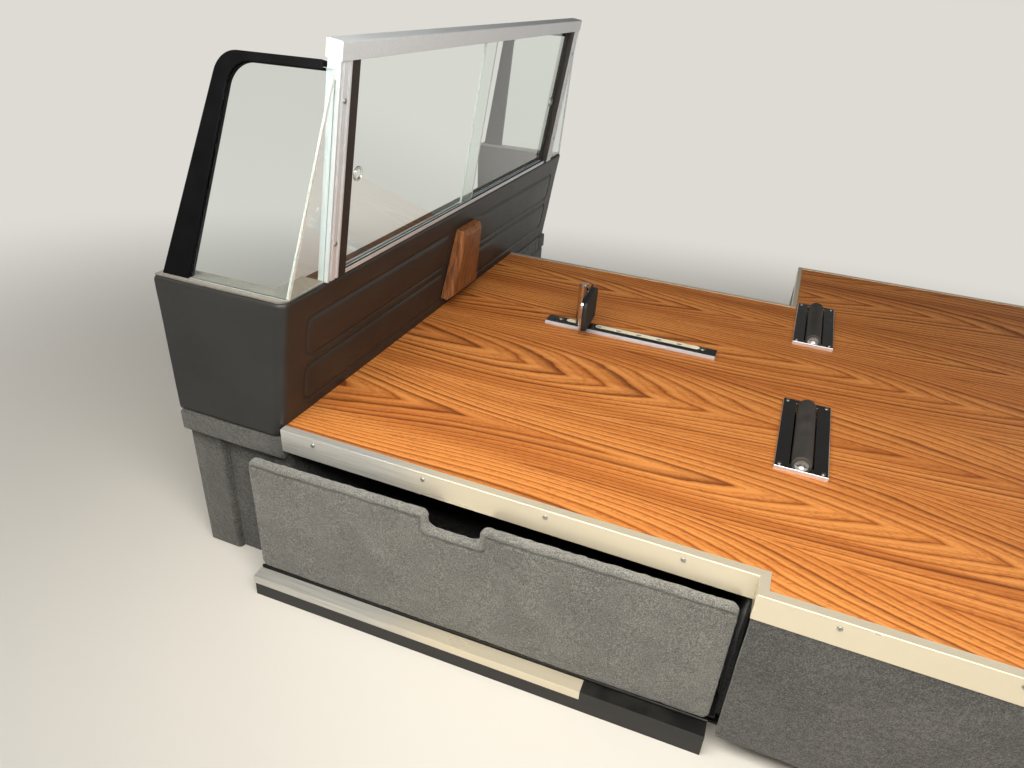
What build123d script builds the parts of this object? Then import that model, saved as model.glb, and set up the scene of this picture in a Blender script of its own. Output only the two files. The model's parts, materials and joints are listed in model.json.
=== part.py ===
"""Casket deck and driver's partition of a funeral car, in millimetres.

A laminated load deck on a steel sub-frame, with bier plates, bier pins and rollers on top, a carpeted storage
well and a tilting kick panel under the near edge, and an upholstered partition with glass across the front.
X runs rearward, Y runs from the near (open door) side to the far side and Z is up. The origin is at the
centre of the part's bounding box, on the floor.
"""

from build123d import *
from math import cos, radians, sin, tan
import os

os.makedirs("parts", exist_ok=True)

# Deck
deck_height = 360.0
board_thickness = 22.0
deck_length = 2850.0
deck_narrow_width = 1100.0
notch_length = 826.0
near_step_x = 845.0
near_step_out = 40.0
centre_line = 700.0
# The deck's outer sides behind the notch lie evenly about the centre line.
deck_wide_half = centre_line + near_step_out

# Metal edges of the deck
trim_thickness = 2.0
trim_lip_thickness = 1.5
trim_fold_radius = 1.4
near_lip_width = 14.0
near_face_height = 45.0
far_lip_width = 10.0
far_face_height = 25.0
threshold_lip_width = 60.0
trim_wall_gap = 0.6

# Bier plates, with a row of holes for the bier pins
plate_length = 412.0
plate_width = 44.0
plate_height = 8.0
plate_bevel = 4.0
front_plate_x = 267.0
rear_plate_gap = 90.0
plate_side_offset = 33.0
hole_row_offset = 8.0
hole_pitch = 49.0
first_hole = 81.0
pin_hole_count = 6
pin_hole_radius = 6.5
deck_hole_clearance = 1.5
inlay_width = 18.0
inlay_depth = 1.5
inlay_spans = ((47.0, 97.0), (121.0, 373.0))
inlay_side_clearance = 0.1
# Which hole of its row each pin stands in, counted from the front
front_pin_index = 0
rear_pin_index = 2

# Bier pins: a post that drops into a hole, with an upright padded stop
running_clearance = 0.05
seat_clearance = 0.05
post_radius = 12.0
post_height = 107.0
post_slope = 7.0
shank_length = 24.0
stem_radius = 7.0
stem_height = 55.0
pad_gap = 2.0
pad_width = 134.0
pad_height = 90.0
pad_bottom = 3.0
pad_side_offset = 19.0
pad_yaw = 4.0
pad_corner = 20.0
pad_plate_thickness = 5.0
pad_rubber_thickness = 9.0
pad_rubber_margin = 4.0

# Rollers: three stations of two, each turning on an axle fixed in its cradle
first_station = 884.5
station_pitch = 700.0
station_count = 3
roller_side_offset = 281.0
cradle_length = 93.0
cradle_width = 262.0
cradle_height = 9.0
cradle_sheet = 2.5
cradle_fold_radius = 2.0
cradle_slot_length = 42.0
cradle_slot_width = 232.0
roller_radius = 18.0
roller_width = 226.0
roller_axis_height = 8.0
barrel_end_radius = 4.0
axle_radius = 5.0
ear_thickness = 4.0
ear_length = 28.0
ear_depth = 12.0
cut_out_clearance = 2.0

# Steel sub-frame of square tube, stacked: rails on cross members on legs
tube = 30.0
tube_wall = 2.0
rail_ends = 6.0
near_rail = 45.0
well_rail = 345.0
notch_rail_inset = 30.0
far_rail_inset = 45.0
notch_rail = deck_narrow_width - notch_rail_inset
far_rail = centre_line + deck_wide_half - far_rail_inset
front_station = 60.0
foot_length = 96.0
foot_width = 60.0
foot_thickness = 6.0
foot_hole_radius = 5.5
foot_hole_reach = 34.0

# Storage well, sill and kick panel along the near side
sill_gap = 49.0
sill_toe_in = 1.4
sill_front = -45.0
sill_length = 875.0
sill_rail_height = 48.0
sill_rail_inner = 16.0
sill_plate_length = 665.0
sill_plate_thickness = 2.0
sill_plate_reach = 27.0
sill_plate_lip = 16.0
kick_thickness = 20.0
kick_top_drop = 49.7
kick_corner = 14.0
kick_edge_round = 7.0
hand_notch_start = 362.0
hand_notch_width = 96.0
hand_notch_depth = 34.0
hinge_radius = 3.0
hinge_inset = 4.0
hinge_leaf = 1.5
hinge_clearance = 0.3
kick_bottom = sill_rail_height + 2 * hinge_radius + hinge_clearance
kick_height = deck_height - kick_top_drop - kick_bottom
tray_board = 6.0
tray_floor_top = 52.0
tray_sill_gap = 1.0
bearer_places = (180.0, 640.0)
bearer_width = 30.0
side_board = 12.0
side_board_bottom = 40.0

# Partition: a leaning padded wall with returns at both ends, then glass in a frame
wall_lean = 8.7
wall_height = 250.0
wall_below_deck = 22.0
wall_padding = 14.0
wall_core = 40.0
return_length = 236.0
return_thickness = 50.0
corner_round = 20.0
top_roll_radius = 6.0
ledge_thickness = 3.0
ledge_inset = 4.0
ledge_width = 50.0
base_rail_height = 44.0
base_rail_proud = 4.0
base_rail_round = 6.0
bulkhead_thickness = 35.0
bulkhead_inset = 12.0
cheek_thickness = 12.0
cheek_inset = 26.0
cheek_front_inset = 14.0
cheek_front_width = 78.0
cheek_round = 10.0
panel_margin = 70.0
panel_rows = ((23.0, 98.0), (118.0, 196.0))
panel_corner = 14.0
panel_groove = 4.0
panel_groove_depth = 1.5

# Glass and its frame, measured up the lean of the wall
glass_top = 612.0
glass_thickness = 5.0
glass_bite = 4.0
post_start = 118.0
post_width = 32.0
post_depth = 24.0
post_proud = 2.0
post_groove = 5.0
post_groove_depth = 3.0
post_groove_shares = (0.25, 0.75)
run_width = 25.0
track_depth = 22.0
track_height = 9.0
pane_pitch = 8.0
pane_overlap = 48.0
near_pane_depth = 5.0
glass_clearance = 0.3
header_height = 28.0
header_depth = 30.0
header_proud = 4.0
header_round = 3.0
pull_inset = 22.0
pull_height = 427.0
pull_radius = 13.0
pull_rim = 4.0
pull_proud = 3.0
filler_top = 585.0

# Side glass over each return, leaning in with the body's side
tumble_slope = 0.276
side_start = 15.0
side_top = 598.0
side_frame_top = 612.0
jamb_front_bottom = -234.0
jamb_front_top = -126.0
jamb_rear_bottom = -174.0
jamb_rear_top = -102.0
jamb_corner = 45.0
jamb_thickness = 16.0
jamb_proud = 4.0
side_glass_gap = 4.0

# Wood bumper block on the wall's centre
block_bottom = 29.0
block_top = 201.0
block_bottom_half = 80.0
block_top_half = 49.0
block_thickness = 28.0
block_bevel = 10.0

# The bounding box, which the origin is centred in
near_reach = (
    sill_gap - sill_front * sin(radians(sill_toe_in)) + sill_plate_reach * cos(radians(sill_toe_in))
)
far_reach = centre_line + deck_wide_half + trim_thickness
front_x = (return_length - deck_length - trim_thickness) / 2
near_y = (near_reach - far_reach) / 2

# Planes: deck coordinates run from the near front corner of the deck's top
deck_plane = Plane(origin=(front_x, near_y, deck_height))
floor_plane = Plane(origin=(front_x, near_y, 0))
lean = radians(wall_lean)
wall_plane = Plane(origin=deck_plane.origin, x_dir=(0, 1, 0), z_dir=(cos(lean), 0, -sin(lean)))
toe_in = radians(sill_toe_in)
sill_plane = Plane(
    origin=(front_x, near_y - sill_gap, 0), x_dir=(cos(toe_in), sin(toe_in), 0), z_dir=(0, 0, 1)
)
tumble_length = (1 + tumble_slope**2) ** 0.5
side_plane = Plane(
    origin=(front_x, near_y + side_start, deck_height + wall_height),
    x_dir=(1, 0, 0),
    z_dir=(0, -1, tumble_slope),
)
mirror_plane = Plane(origin=(0, near_y + centre_line, 0), z_dir=(0, 1, 0))


def save(part, name):
    """Label a finished piece and write it as its own STEP file."""
    part.label = name
    export_step(part, f"parts/{name}.step")


def save_far(near_part, name):
    """Mirror a near-side piece about the centre line and save it for the far side."""
    with BuildPart() as far:
        mirror(near_part, about=mirror_plane)
    save(far.part, name)


def save_pair(near_part, name):
    """Save a near-side piece and its mirror image as one node of two solids."""
    with BuildPart() as pair:
        add(near_part)
        mirror(near_part, about=mirror_plane)
    save(pair.part, name)


def up(height):
    """Distance up the leaning wall of a point at a height over the deck."""
    return height / cos(lean)


def lean_x(height):
    """How far back the wall's rear face stands at a height over the deck."""
    return height * tan(lean)


def side_up(height):
    """Distance up the leaning side glass of a point at a height over the deck."""
    return (height - wall_height) * tumble_length


def sill_y(x, inward):
    """Deck coordinate Y of a line parallel to the sill, at a deck coordinate X."""
    return -sill_gap + inward / cos(toe_in) + x * tan(toe_in)


def rectangle(x_low, x_high, y_low, y_high):
    """Rectangle between two corners, in the sketch that is open."""
    with Locations(((x_low + x_high) / 2, (y_low + y_high) / 2)):
        Rectangle(x_high - x_low, y_high - y_low)


def outline(points):
    """Closed straight-sided face, in the sketch that is open."""
    with BuildLine() as border:
        Polyline(*points, close=True)
    make_face(border.edges())


def deck_outline(front):
    """Plan of the deck board, with its front edge at a given X."""
    with BuildSketch() as plan:
        outline([
            (front, 0),
            (near_step_x, 0),
            (near_step_x, -near_step_out),
            (deck_length, -near_step_out),
            (deck_length, centre_line + deck_wide_half),
            (notch_length, centre_line + deck_wide_half),
            (notch_length, deck_narrow_width),
            (front, deck_narrow_width),
        ])
    return plan.sketch


stations = [first_station + i * station_pitch for i in range(station_count)]
roller_rows = (centre_line - roller_side_offset, centre_line + roller_side_offset)
rear_plate_x = deck_length - threshold_lip_width - rear_plate_gap - plate_length
hole_row = centre_line - plate_side_offset + plate_width / 2 + hole_row_offset
rearward, forward = 1, -1
# Each bier plate: name, its start, which way its pad faces and the hole that its pin stands in
bier_sets = (
    ("front", front_plate_x, rearward, front_pin_index),
    ("rear", rear_plate_x, forward, rear_pin_index),
)


def pin_holes(plate_x):
    """Places of one bier plate's pin holes, in deck coordinates."""
    return [(plate_x + first_hole + i * hole_pitch, hole_row) for i in range(pin_hole_count)]


# Deck board, with the notch, the pin holes and the roller cut-outs
with BuildPart() as deck_board:
    with BuildSketch(deck_plane.offset(-board_thickness)):
        add(deck_outline(0))
        for label, plate_x, facing, hole in bier_sets:
            with Locations(*pin_holes(plate_x)):
                Circle(pin_hole_radius + deck_hole_clearance, mode=Mode.SUBTRACT)
        with Locations(*[(x, y) for x in stations for y in roller_rows]):
            Rectangle(
                cradle_slot_length + 2 * cut_out_clearance,
                cradle_slot_width + 2 * (ear_thickness + cut_out_clearance),
                mode=Mode.SUBTRACT,
            )
    extrude(amount=board_thickness)
save(deck_board.part, "deck_board")

# Metal edges, cut from one outline: name, lip, face height, then the clip's corners, which run past the deck
def on_deck_plan(point):
    """Place of a point on the deck's plan, in the plan's own flat coordinates."""
    local = deck_plane.to_local_coords(point)
    return Vector(local.X, local.Y, 0)


threshold_start = deck_length - threshold_lip_width
beyond = 100.0
edge_rows = (
    (
        "near_edge_moulding", near_lip_width, near_face_height,
        trim_wall_gap, threshold_start, -beyond, centre_line,
    ),
    (
        "far_edge_trim", far_lip_width, far_face_height,
        trim_wall_gap, threshold_start, centre_line, 2 * deck_length,
    ),
    (
        "rear_threshold_plate", threshold_lip_width, near_face_height,
        threshold_start, deck_length + beyond, -beyond, 2 * deck_length,
    ),
)
for name, lip, face, x_low, x_high, y_low, y_high in edge_rows:
    trim_outline = deck_outline(-2 * beyond)
    outer = offset(trim_outline, trim_thickness, kind=Kind.INTERSECTION)
    inner = offset(trim_outline, -lip, kind=Kind.INTERSECTION)
    with BuildSketch() as clip:
        rectangle(x_low, x_high, y_low, y_high)
    with BuildPart() as edge:
        with BuildSketch(deck_plane.offset(-face)):
            add(outer)
            add(trim_outline, mode=Mode.SUBTRACT)
            add(clip.sketch, mode=Mode.INTERSECT)
        extrude(amount=face)
        with BuildSketch(deck_plane):
            add(outer)
            add(inner, mode=Mode.SUBTRACT)
            add(clip.sketch, mode=Mode.INTERSECT)
        extrude(amount=trim_lip_thickness)
    # The folded outer edge is round: its top edges lie outside the deck's own outline
    deck_face = trim_outline.face()
    top_edges = edge.faces().sort_by(Axis.Z)[-1].edges()
    with edge:
        fillet([e for e in top_edges if not deck_face.is_inside(on_deck_plan(e.center()))], trim_fold_radius)
    save(edge.part, name)

# Bier plates, grooved for their inlays
def inlay_plan(plate_x):
    """Plan of one bier plate's two inlay strips, slots along the row of holes."""
    with BuildSketch() as plan:
        for start, end in inlay_spans:
            with Locations((plate_x + (start + end) / 2, hole_row)):
                SlotOverall(end - start, inlay_width)
    return plan.sketch


for label, plate_x, facing, hole in bier_sets:
    with BuildPart() as plate:
        with BuildSketch(deck_plane):
            with Locations((plate_x + plate_length / 2, hole_row - hole_row_offset)):
                Rectangle(plate_length, plate_width)
        extrude(amount=plate_height)
        long_edges = plate.faces().sort_by(Axis.Z)[-1].edges().filter_by(Axis.X)
        chamfer(long_edges, plate_bevel)
        with BuildSketch(deck_plane.offset(plate_height - inlay_depth)):
            add(inlay_plan(plate_x))
        extrude(amount=inlay_depth, mode=Mode.SUBTRACT)
        with BuildSketch(deck_plane):
            with Locations(*pin_holes(plate_x)):
                Circle(pin_hole_radius)
        extrude(amount=plate_height, mode=Mode.SUBTRACT)
    save(plate.part, f"{label}_bier_plate")

with BuildPart() as inlays:
    for label, plate_x, facing, hole in bier_sets:
        with BuildSketch(deck_plane.offset(plate_height - inlay_depth)):
            offset(inlay_plan(plate_x), -inlay_side_clearance)
            with Locations(*pin_holes(plate_x)):
                Circle(pin_hole_radius, mode=Mode.SUBTRACT)
        extrude(amount=inlay_depth)
save(inlays.part, "bier_inlays")

# Bier pins, each a post with a shank and an upright pad plate, and a rubber face on that plate
for label, plate_x, facing, hole in bier_sets:
    pin_x, pin_y = pin_holes(plate_x)[hole]
    pin_origin = deck_plane.from_local_coords(Vector(pin_x, pin_y, plate_height + seat_clearance))
    yaw = radians(pad_yaw)
    pad_plane = Plane(
        origin=pin_origin + Vector(facing * (post_radius + pad_gap), 0, pad_bottom + pad_height / 2),
        x_dir=(-facing * sin(yaw), cos(yaw), 0),
        z_dir=(facing * cos(yaw), sin(yaw), 0),
    )
    pad_middle = (-pad_side_offset, 0)
    with BuildPart() as pin:
        with BuildSketch(Plane(origin=pin_origin)):
            Circle(post_radius)
        extrude(amount=post_height)
        with BuildSketch(Plane(
            origin=pin_origin + Vector(0, 0, post_height - post_slope),
            z_dir=(-facing * post_slope, 0, 2 * post_radius),
        )):
            Circle(post_height)
        extrude(amount=post_height, mode=Mode.SUBTRACT)
        with BuildSketch(Plane(origin=pin_origin)):
            Circle(pin_hole_radius - running_clearance)
        extrude(amount=-shank_length)
        with BuildSketch(Plane(origin=pin_origin + Vector(0, 0, stem_height), z_dir=(facing, 0, 0))):
            Circle(stem_radius)
        extrude(amount=post_radius + pad_gap + pad_plate_thickness / 2)
        with BuildSketch(pad_plane):
            with Locations(pad_middle):
                RectangleRounded(pad_width, pad_height, pad_corner)
        extrude(amount=pad_plate_thickness)
    save(pin.part, f"{label}_bier_pin")
    with BuildPart() as rubber:
        with BuildSketch(pad_plane.offset(pad_plate_thickness)):
            with Locations(pad_middle):
                RectangleRounded(
                    pad_width - 2 * pad_rubber_margin,
                    pad_height - 2 * pad_rubber_margin,
                    pad_corner - pad_rubber_margin,
                )
        extrude(amount=pad_rubber_thickness)
        outer_face = rubber.faces().sort_by(Axis((0, 0, 0), (facing, 0, 0)))[-1]
        fillet(outer_face.edges(), pad_rubber_margin / 2)
    save(rubber.part, f"{label}_bier_rubber")

# Roller cradles: a folded sheet cover with a slot, two ears under it and the fixed axle
with BuildPart() as cradles:
    for x in stations:
        for y in roller_rows:
            with BuildSketch(deck_plane):
                with Locations((x, y)):
                    Rectangle(cradle_length, cradle_width)
            extrude(amount=cradle_height)
            with BuildSketch(deck_plane):
                with Locations((x, y)):
                    Rectangle(cradle_length - 2 * cradle_sheet, cradle_width - 2 * cradle_sheet)
            extrude(amount=cradle_height - cradle_sheet, mode=Mode.SUBTRACT)
            with BuildSketch(deck_plane):
                with Locations((x, y)):
                    Rectangle(cradle_slot_length, cradle_slot_width)
            extrude(amount=cradle_height, mode=Mode.SUBTRACT)
            for end in (-1, 1):
                ear_y = y + end * (cradle_slot_width + ear_thickness) / 2
                with BuildSketch(deck_plane.offset(-ear_depth)):
                    with Locations((x, ear_y)):
                        Rectangle(ear_length, ear_thickness)
                extrude(amount=ear_depth + cradle_height - cradle_sheet)
            with BuildSketch(Plane(
                origin=(
                    front_x + x,
                    near_y + y - cradle_slot_width / 2 - ear_thickness,
                    deck_height + roller_axis_height,
                ),
                z_dir=(0, 1, 0),
            )):
                Circle(axle_radius)
            extrude(amount=cradle_slot_width + 2 * ear_thickness)
    for cover in cradles.faces().filter_by(Axis.Z).filter_by(
        lambda face: abs(face.center().Z - deck_height - cradle_height) < seat_clearance
    ):
        fillet(cover.outer_wire().edges(), cradle_fold_radius)
save(cradles.part, "roller_cradles")

# Roller barrels, each on its own axle
for i, x in enumerate(stations):
    for side, y in zip(("near", "far"), roller_rows):
        with BuildPart() as barrel:
            with BuildSketch(Plane(
                origin=(front_x + x, near_y + y - roller_width / 2, deck_height + roller_axis_height),
                z_dir=(0, 1, 0),
            )):
                Circle(roller_radius)
                Circle(axle_radius + running_clearance, mode=Mode.SUBTRACT)
            extrude(amount=roller_width)
            fillet(barrel.edges().filter_by(GeomType.CIRCLE).group_by(SortBy.RADIUS)[-1], barrel_end_radius)
        save(barrel.part, f"{side}_roller_{i + 1}")


def tube_along_x(y, z_top, x_low, x_high):
    """Square tube along X, in the part that is open; z_top is measured from the floor."""
    with BuildSketch(Plane(
        origin=(front_x + x_low, near_y + y, z_top - tube / 2), z_dir=(1, 0, 0)
    )) as section:
        Rectangle(tube, tube)
        Rectangle(tube - 2 * tube_wall, tube - 2 * tube_wall, mode=Mode.SUBTRACT)
    extrude(section.sketch, amount=x_high - x_low)


def tube_along_y(x, z_top, y_low, y_high):
    """Square tube along Y, in the part that is open; z_top is measured from the floor."""
    with BuildSketch(Plane(
        origin=(front_x + x, near_y + y_low, z_top - tube / 2), z_dir=(0, 1, 0)
    )) as section:
        Rectangle(tube, tube)
        Rectangle(tube - 2 * tube_wall, tube - 2 * tube_wall, mode=Mode.SUBTRACT)
    extrude(section.sketch, amount=y_high - y_low)


rail_top = deck_height - board_thickness
cross_top = rail_top - tube
leg_top = cross_top - tube
second_station = near_step_x + tube / 2
station_gap = (deck_length - front_station - second_station) / 3
# Cross members: place, the rails they carry and so where their legs stand
cross_rows = (
    (front_station, (well_rail, centre_line, notch_rail)),
    (second_station, (near_rail, well_rail, centre_line, notch_rail, far_rail)),
    (second_station + station_gap, (near_rail, centre_line, far_rail)),
    (second_station + 2 * station_gap, (near_rail, centre_line, far_rail)),
    (deck_length - front_station, (near_rail, centre_line, far_rail)),
)

# Rails under the board: each one's place and where it starts
with BuildPart() as rails:
    for y, start in (
        (near_rail, 0),
        (well_rail, 0),
        (centre_line, 0),
        (notch_rail, 0),
        (far_rail, notch_length + side_board),
    ):
        tube_along_x(y, rail_top, start, deck_length - rail_ends)
save(rails.part, "deck_rails")

with BuildPart() as cross_members:
    for x, ys in cross_rows:
        tube_along_y(x, cross_top, ys[0] - tube / 2, ys[-1] + tube / 2)
save(cross_members.part, "cross_members")

with BuildPart() as legs:
    for x, ys in cross_rows:
        for y in ys:
            with BuildSketch(floor_plane):
                with Locations((x, y)):
                    Rectangle(foot_length, foot_width)
                with Locations((x - foot_hole_reach, y), (x + foot_hole_reach, y)):
                    Circle(foot_hole_radius, mode=Mode.SUBTRACT)
            extrude(amount=foot_thickness)
            with BuildSketch(floor_plane.offset(foot_thickness)):
                with Locations((x, y)):
                    Rectangle(tube, tube)
                    Rectangle(tube - 2 * tube_wall, tube - 2 * tube_wall, mode=Mode.SUBTRACT)
            extrude(amount=leg_top - foot_thickness)
save(legs.part, "support_legs")

# Boards round the storage well, the notch and the sides
well_back = well_rail - tube / 2
well_rear = near_step_x - tray_board
with BuildPart() as tray_floor:
    with BuildSketch(floor_plane.offset(tray_floor_top - tray_board)):
        inner = sill_rail_inner + tray_sill_gap
        outline([
            (0, sill_y(0, inner)),
            (well_rear, sill_y(well_rear, inner)),
            (well_rear, well_back - tray_board),
            (0, well_back - tray_board),
        ])
    extrude(amount=tray_board)
save(tray_floor.part, "tray_floor")

board_bottom = tray_floor_top - tray_board
# Boards: name, bottom, top, then the plan's corners
board_rows = (
    ("tray_back_board", board_bottom, rail_top, 0, well_rear, well_back - tray_board, well_back),
    ("tray_rear_board", board_bottom, cross_top, well_rear, near_step_x, 0, well_back),
    (
        "near_side_board", side_board_bottom, rail_top,
        near_step_x, deck_length - rail_ends, -near_step_out, side_board - near_step_out,
    ),
    (
        "far_side_board", side_board_bottom, rail_top,
        notch_length + side_board, deck_length - rail_ends,
        centre_line + deck_wide_half - side_board, centre_line + deck_wide_half,
    ),
    (
        "notch_side_board", side_board_bottom, rail_top,
        0, notch_length, deck_narrow_width - side_board, deck_narrow_width,
    ),
    (
        "notch_rear_board", side_board_bottom, rail_top,
        notch_length, notch_length + side_board, deck_narrow_width, centre_line + deck_wide_half,
    ),
    (
        "front_bulkhead", 0, rail_top - base_rail_height,
        -bulkhead_thickness, 0, bulkhead_inset, 2 * centre_line - bulkhead_inset,
    ),
)
for name, low, high, x_low, x_high, y_low, y_high in board_rows:
    with BuildPart() as board:
        with BuildSketch(floor_plane.offset(low)):
            rectangle(x_low, x_high, y_low, y_high)
        extrude(amount=high - low)
    save(board.part, name)

with BuildPart() as bearers:
    for x in bearer_places:
        with BuildSketch(floor_plane):
            rectangle(x - bearer_width / 2, x + bearer_width / 2, 0, well_back - tray_board)
        extrude(amount=board_bottom)
save(bearers.part, "tray_bearers")

# Sill: a tube on the floor, its bright plate, the hinge and the kick panel that tilts out on it
sill_rear = sill_front + sill_length
plate_outer = -sill_plate_reach + sill_plate_thickness
with BuildPart() as sill_rail:
    with BuildSketch(sill_plane):
        rectangle(sill_front, sill_rear, plate_outer, sill_rail_inner)
    extrude(amount=sill_rail_height)
save(sill_rail.part, "sill_rail")

with BuildPart() as sill_plate:
    with BuildSketch(sill_plane.offset(sill_rail_height)):
        rectangle(sill_front, sill_front + sill_plate_length, -sill_plate_reach, 0)
    extrude(amount=sill_plate_thickness)
    with BuildSketch(sill_plane.offset(sill_rail_height - sill_plate_lip)):
        rectangle(sill_front, sill_front + sill_plate_length, -sill_plate_reach, plate_outer)
    extrude(amount=sill_plate_lip)
save(sill_plate.part, "sill_plate")

sill_end = Plane(
    origin=sill_plane.from_local_coords(Vector(sill_front, 0, sill_rail_height)),
    x_dir=sill_plane.y_dir,
    z_dir=sill_plane.x_dir,
)
with BuildPart() as hinge:
    with BuildSketch(sill_end):
        with Locations((hinge_inset, hinge_radius)):
            Circle(hinge_radius)
        rectangle(hinge_inset, sill_rail_inner, 0, hinge_leaf)
    extrude(amount=sill_length)
save(hinge.part, "kick_panel_hinge")

kick_plane = Plane(
    origin=sill_plane.from_local_coords(Vector(sill_front, kick_thickness, kick_bottom)),
    x_dir=sill_plane.x_dir,
    z_dir=-sill_plane.y_dir,
)
with BuildPart() as kick_panel:
    with BuildSketch(kick_plane) as kick_face:
        outline([
            (0, 0),
            (sill_length, 0),
            (sill_length, kick_height),
            (hand_notch_start + hand_notch_width, kick_height),
            (hand_notch_start + hand_notch_width, kick_height - hand_notch_depth),
            (hand_notch_start, kick_height - hand_notch_depth),
            (hand_notch_start, kick_height),
            (0, kick_height),
        ])
        fillet(kick_face.vertices(), kick_corner)
    extrude(amount=kick_thickness)
    ends = kick_panel.faces().sort_by(Axis((0, 0, 0), sill_plane.y_dir))
    fillet(ends[0].edges() + ends[-1].edges(), kick_edge_round)
save(kick_panel.part, "kick_panel")

# Base rails that carry the partition, along the wall and under both returns
base_top = deck_height - wall_below_deck
with BuildPart() as base_rail:
    with BuildSketch(floor_plane.offset(base_top - base_rail_height)):
        rectangle(-wall_padding - wall_core, 0, return_thickness, 2 * centre_line - return_thickness)
    extrude(amount=base_rail_height)
save(base_rail.part, "wall_base_rail")

with BuildPart() as near_base:
    with BuildSketch(floor_plane.offset(base_top - base_rail_height)):
        rectangle(-return_length, 0, -base_rail_proud, return_thickness)
    extrude(amount=base_rail_height)
    near_face = near_base.faces().sort_by(Axis.Y)[0]
    fillet(near_face.edges().filter_by(Axis.X), base_rail_round)
save(near_base.part, "near_base_rail")
save_far(near_base.part, "far_base_rail")

# Carpeted cheek under each return: a set-back board and a curved one in front of it
with BuildPart() as cheek:
    with BuildSketch(floor_plane):
        rectangle(-return_length, -bulkhead_thickness, cheek_inset, cheek_inset + cheek_thickness)
        rectangle(
            -return_length, cheek_front_width - return_length,
            cheek_front_inset, cheek_inset,
        )
    extrude(amount=base_top - base_rail_height)
    front_board_edge = cheek.edges().filter_by(Axis.Z).sort_by(Axis.Y)[:2].sort_by(Axis.X)[-1]
    fillet(front_board_edge, cheek_round)
save_pair(cheek.part, "lower_cheeks")


def wall_profile(rear, depth, top):
    """Section of a leaning wall piece, in the XZ sketch that is open, from its rear face forward."""
    low = -wall_below_deck
    outline([
        (lean_x(low) - rear, low),
        (lean_x(top) - rear, top),
        (lean_x(top) - rear - depth, top),
        (lean_x(low) - rear - depth, low),
    ])


section_plane = Plane(
    origin=(front_x, near_y + return_thickness, deck_height), x_dir=(1, 0, 0), z_dir=(0, -1, 0)
)
wall_width = 2 * (centre_line - return_thickness)
with BuildPart() as core:
    with BuildSketch(section_plane):
        wall_profile(wall_padding, wall_core, wall_height)
    extrude(amount=-wall_width)
save(core.part, "partition_core")

with BuildPart() as wall_pad:
    with BuildSketch(section_plane):
        wall_profile(0, wall_padding, wall_height)
    extrude(amount=-wall_width)
    for low, high in panel_rows:
        with BuildSketch(wall_plane):
            with Locations((centre_line, (up(low) + up(high)) / 2)):
                width, height = 2 * (centre_line - panel_margin), up(high - low)
                RectangleRounded(width, height, panel_corner)
                RectangleRounded(
                    width - 2 * panel_groove, height - 2 * panel_groove, panel_corner - panel_groove,
                    mode=Mode.SUBTRACT,
                )
        extrude(amount=-panel_groove_depth, mode=Mode.SUBTRACT)
    fillet(wall_pad.faces().sort_by(Axis.Z)[-1].edges().sort_by(Axis.X)[-1], top_roll_radius)
save(wall_pad.part, "wall_panel")

with BuildPart() as near_return:
    with BuildSketch(section_plane):
        low, high = -wall_below_deck, wall_height
        outline([(-return_length, low), (lean_x(low), low), (lean_x(high), high), (-return_length, high)])
    extrude(amount=return_thickness)
    corner = near_return.edges().filter_by(
        lambda edge: abs(edge.tangent_at(0.5).Z) > 0.5
    ).sort_by(Axis.Y)[:2].sort_by(Axis.X)[-1]
    fillet(corner, corner_round)
    top_edges = near_return.faces().sort_by(Axis.Z)[-1].edges()
    near_line = top_edges.filter_by(Axis.X).sort_by(Axis.Y)[0]
    rear_line = top_edges.filter_by(Axis.Y).sort_by(Axis.X)[-1]
    corner_arc = top_edges.filter_by(GeomType.LINE, reverse=True)
    fillet([near_line, rear_line, *corner_arc], top_roll_radius)
save(near_return.part, "near_return")
save_far(near_return.part, "far_return")

# Felt ledge on top of each return and of the wall as far as the post
with BuildPart() as ledge:
    with BuildSketch(deck_plane.offset(wall_height)):
        rear = lean_x(wall_height) - ledge_inset
        outline([
            (-return_length, ledge_inset),
            (rear, ledge_inset),
            (rear, post_start),
            (rear - ledge_width, post_start),
            (rear - ledge_width, return_thickness),
            (-return_length, return_thickness),
        ])
    extrude(amount=ledge_thickness)
    near_edges = ledge.edges().filter_by(Axis.Z).sort_by(Axis.Y)[:2]
    fillet(near_edges.sort_by(Axis.X)[-1], corner_round - ledge_inset)
save_pair(ledge.part, "felt_ledges")

# Glass frame on top of the wall: posts, dark glass runs, bottom track and header
wall_top_plane = deck_plane.offset(wall_height)
ledge_top_plane = deck_plane.offset(wall_height + ledge_thickness + glass_clearance)
frame_low, frame_high = up(wall_height) - post_depth, up(glass_top)
run_start = post_start + post_width
glass_start = run_start + run_width
# Depths of the two sliding panes' rear faces behind the wall's rear face
pane_depths = (near_pane_depth, near_pane_depth + pane_pitch)


def cut_slots(span_low, span_high, low, high):
    """Cut both panes' slots into the frame piece that is open."""
    for depth in pane_depths:
        with BuildSketch(wall_plane.offset(glass_clearance - depth)) as slot:
            rectangle(span_low, span_high, low, high)
        extrude(slot.sketch, amount=-glass_thickness - 2 * glass_clearance, mode=Mode.SUBTRACT)


with BuildPart() as corner_post:
    with BuildSketch(wall_plane.offset(post_proud)):
        rectangle(post_start, run_start, frame_low, frame_high)
    extrude(amount=-post_depth)
    for share in post_groove_shares:
        with BuildSketch(wall_plane.offset(post_proud)):
            with Locations((post_start + share * post_width, (frame_low + frame_high) / 2)):
                Rectangle(post_groove, frame_high - frame_low)
        extrude(amount=-post_groove_depth, mode=Mode.SUBTRACT)
    split(bisect_by=wall_top_plane, keep=Keep.TOP)
save(corner_post.part, "near_post")
save_far(corner_post.part, "far_post")

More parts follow.
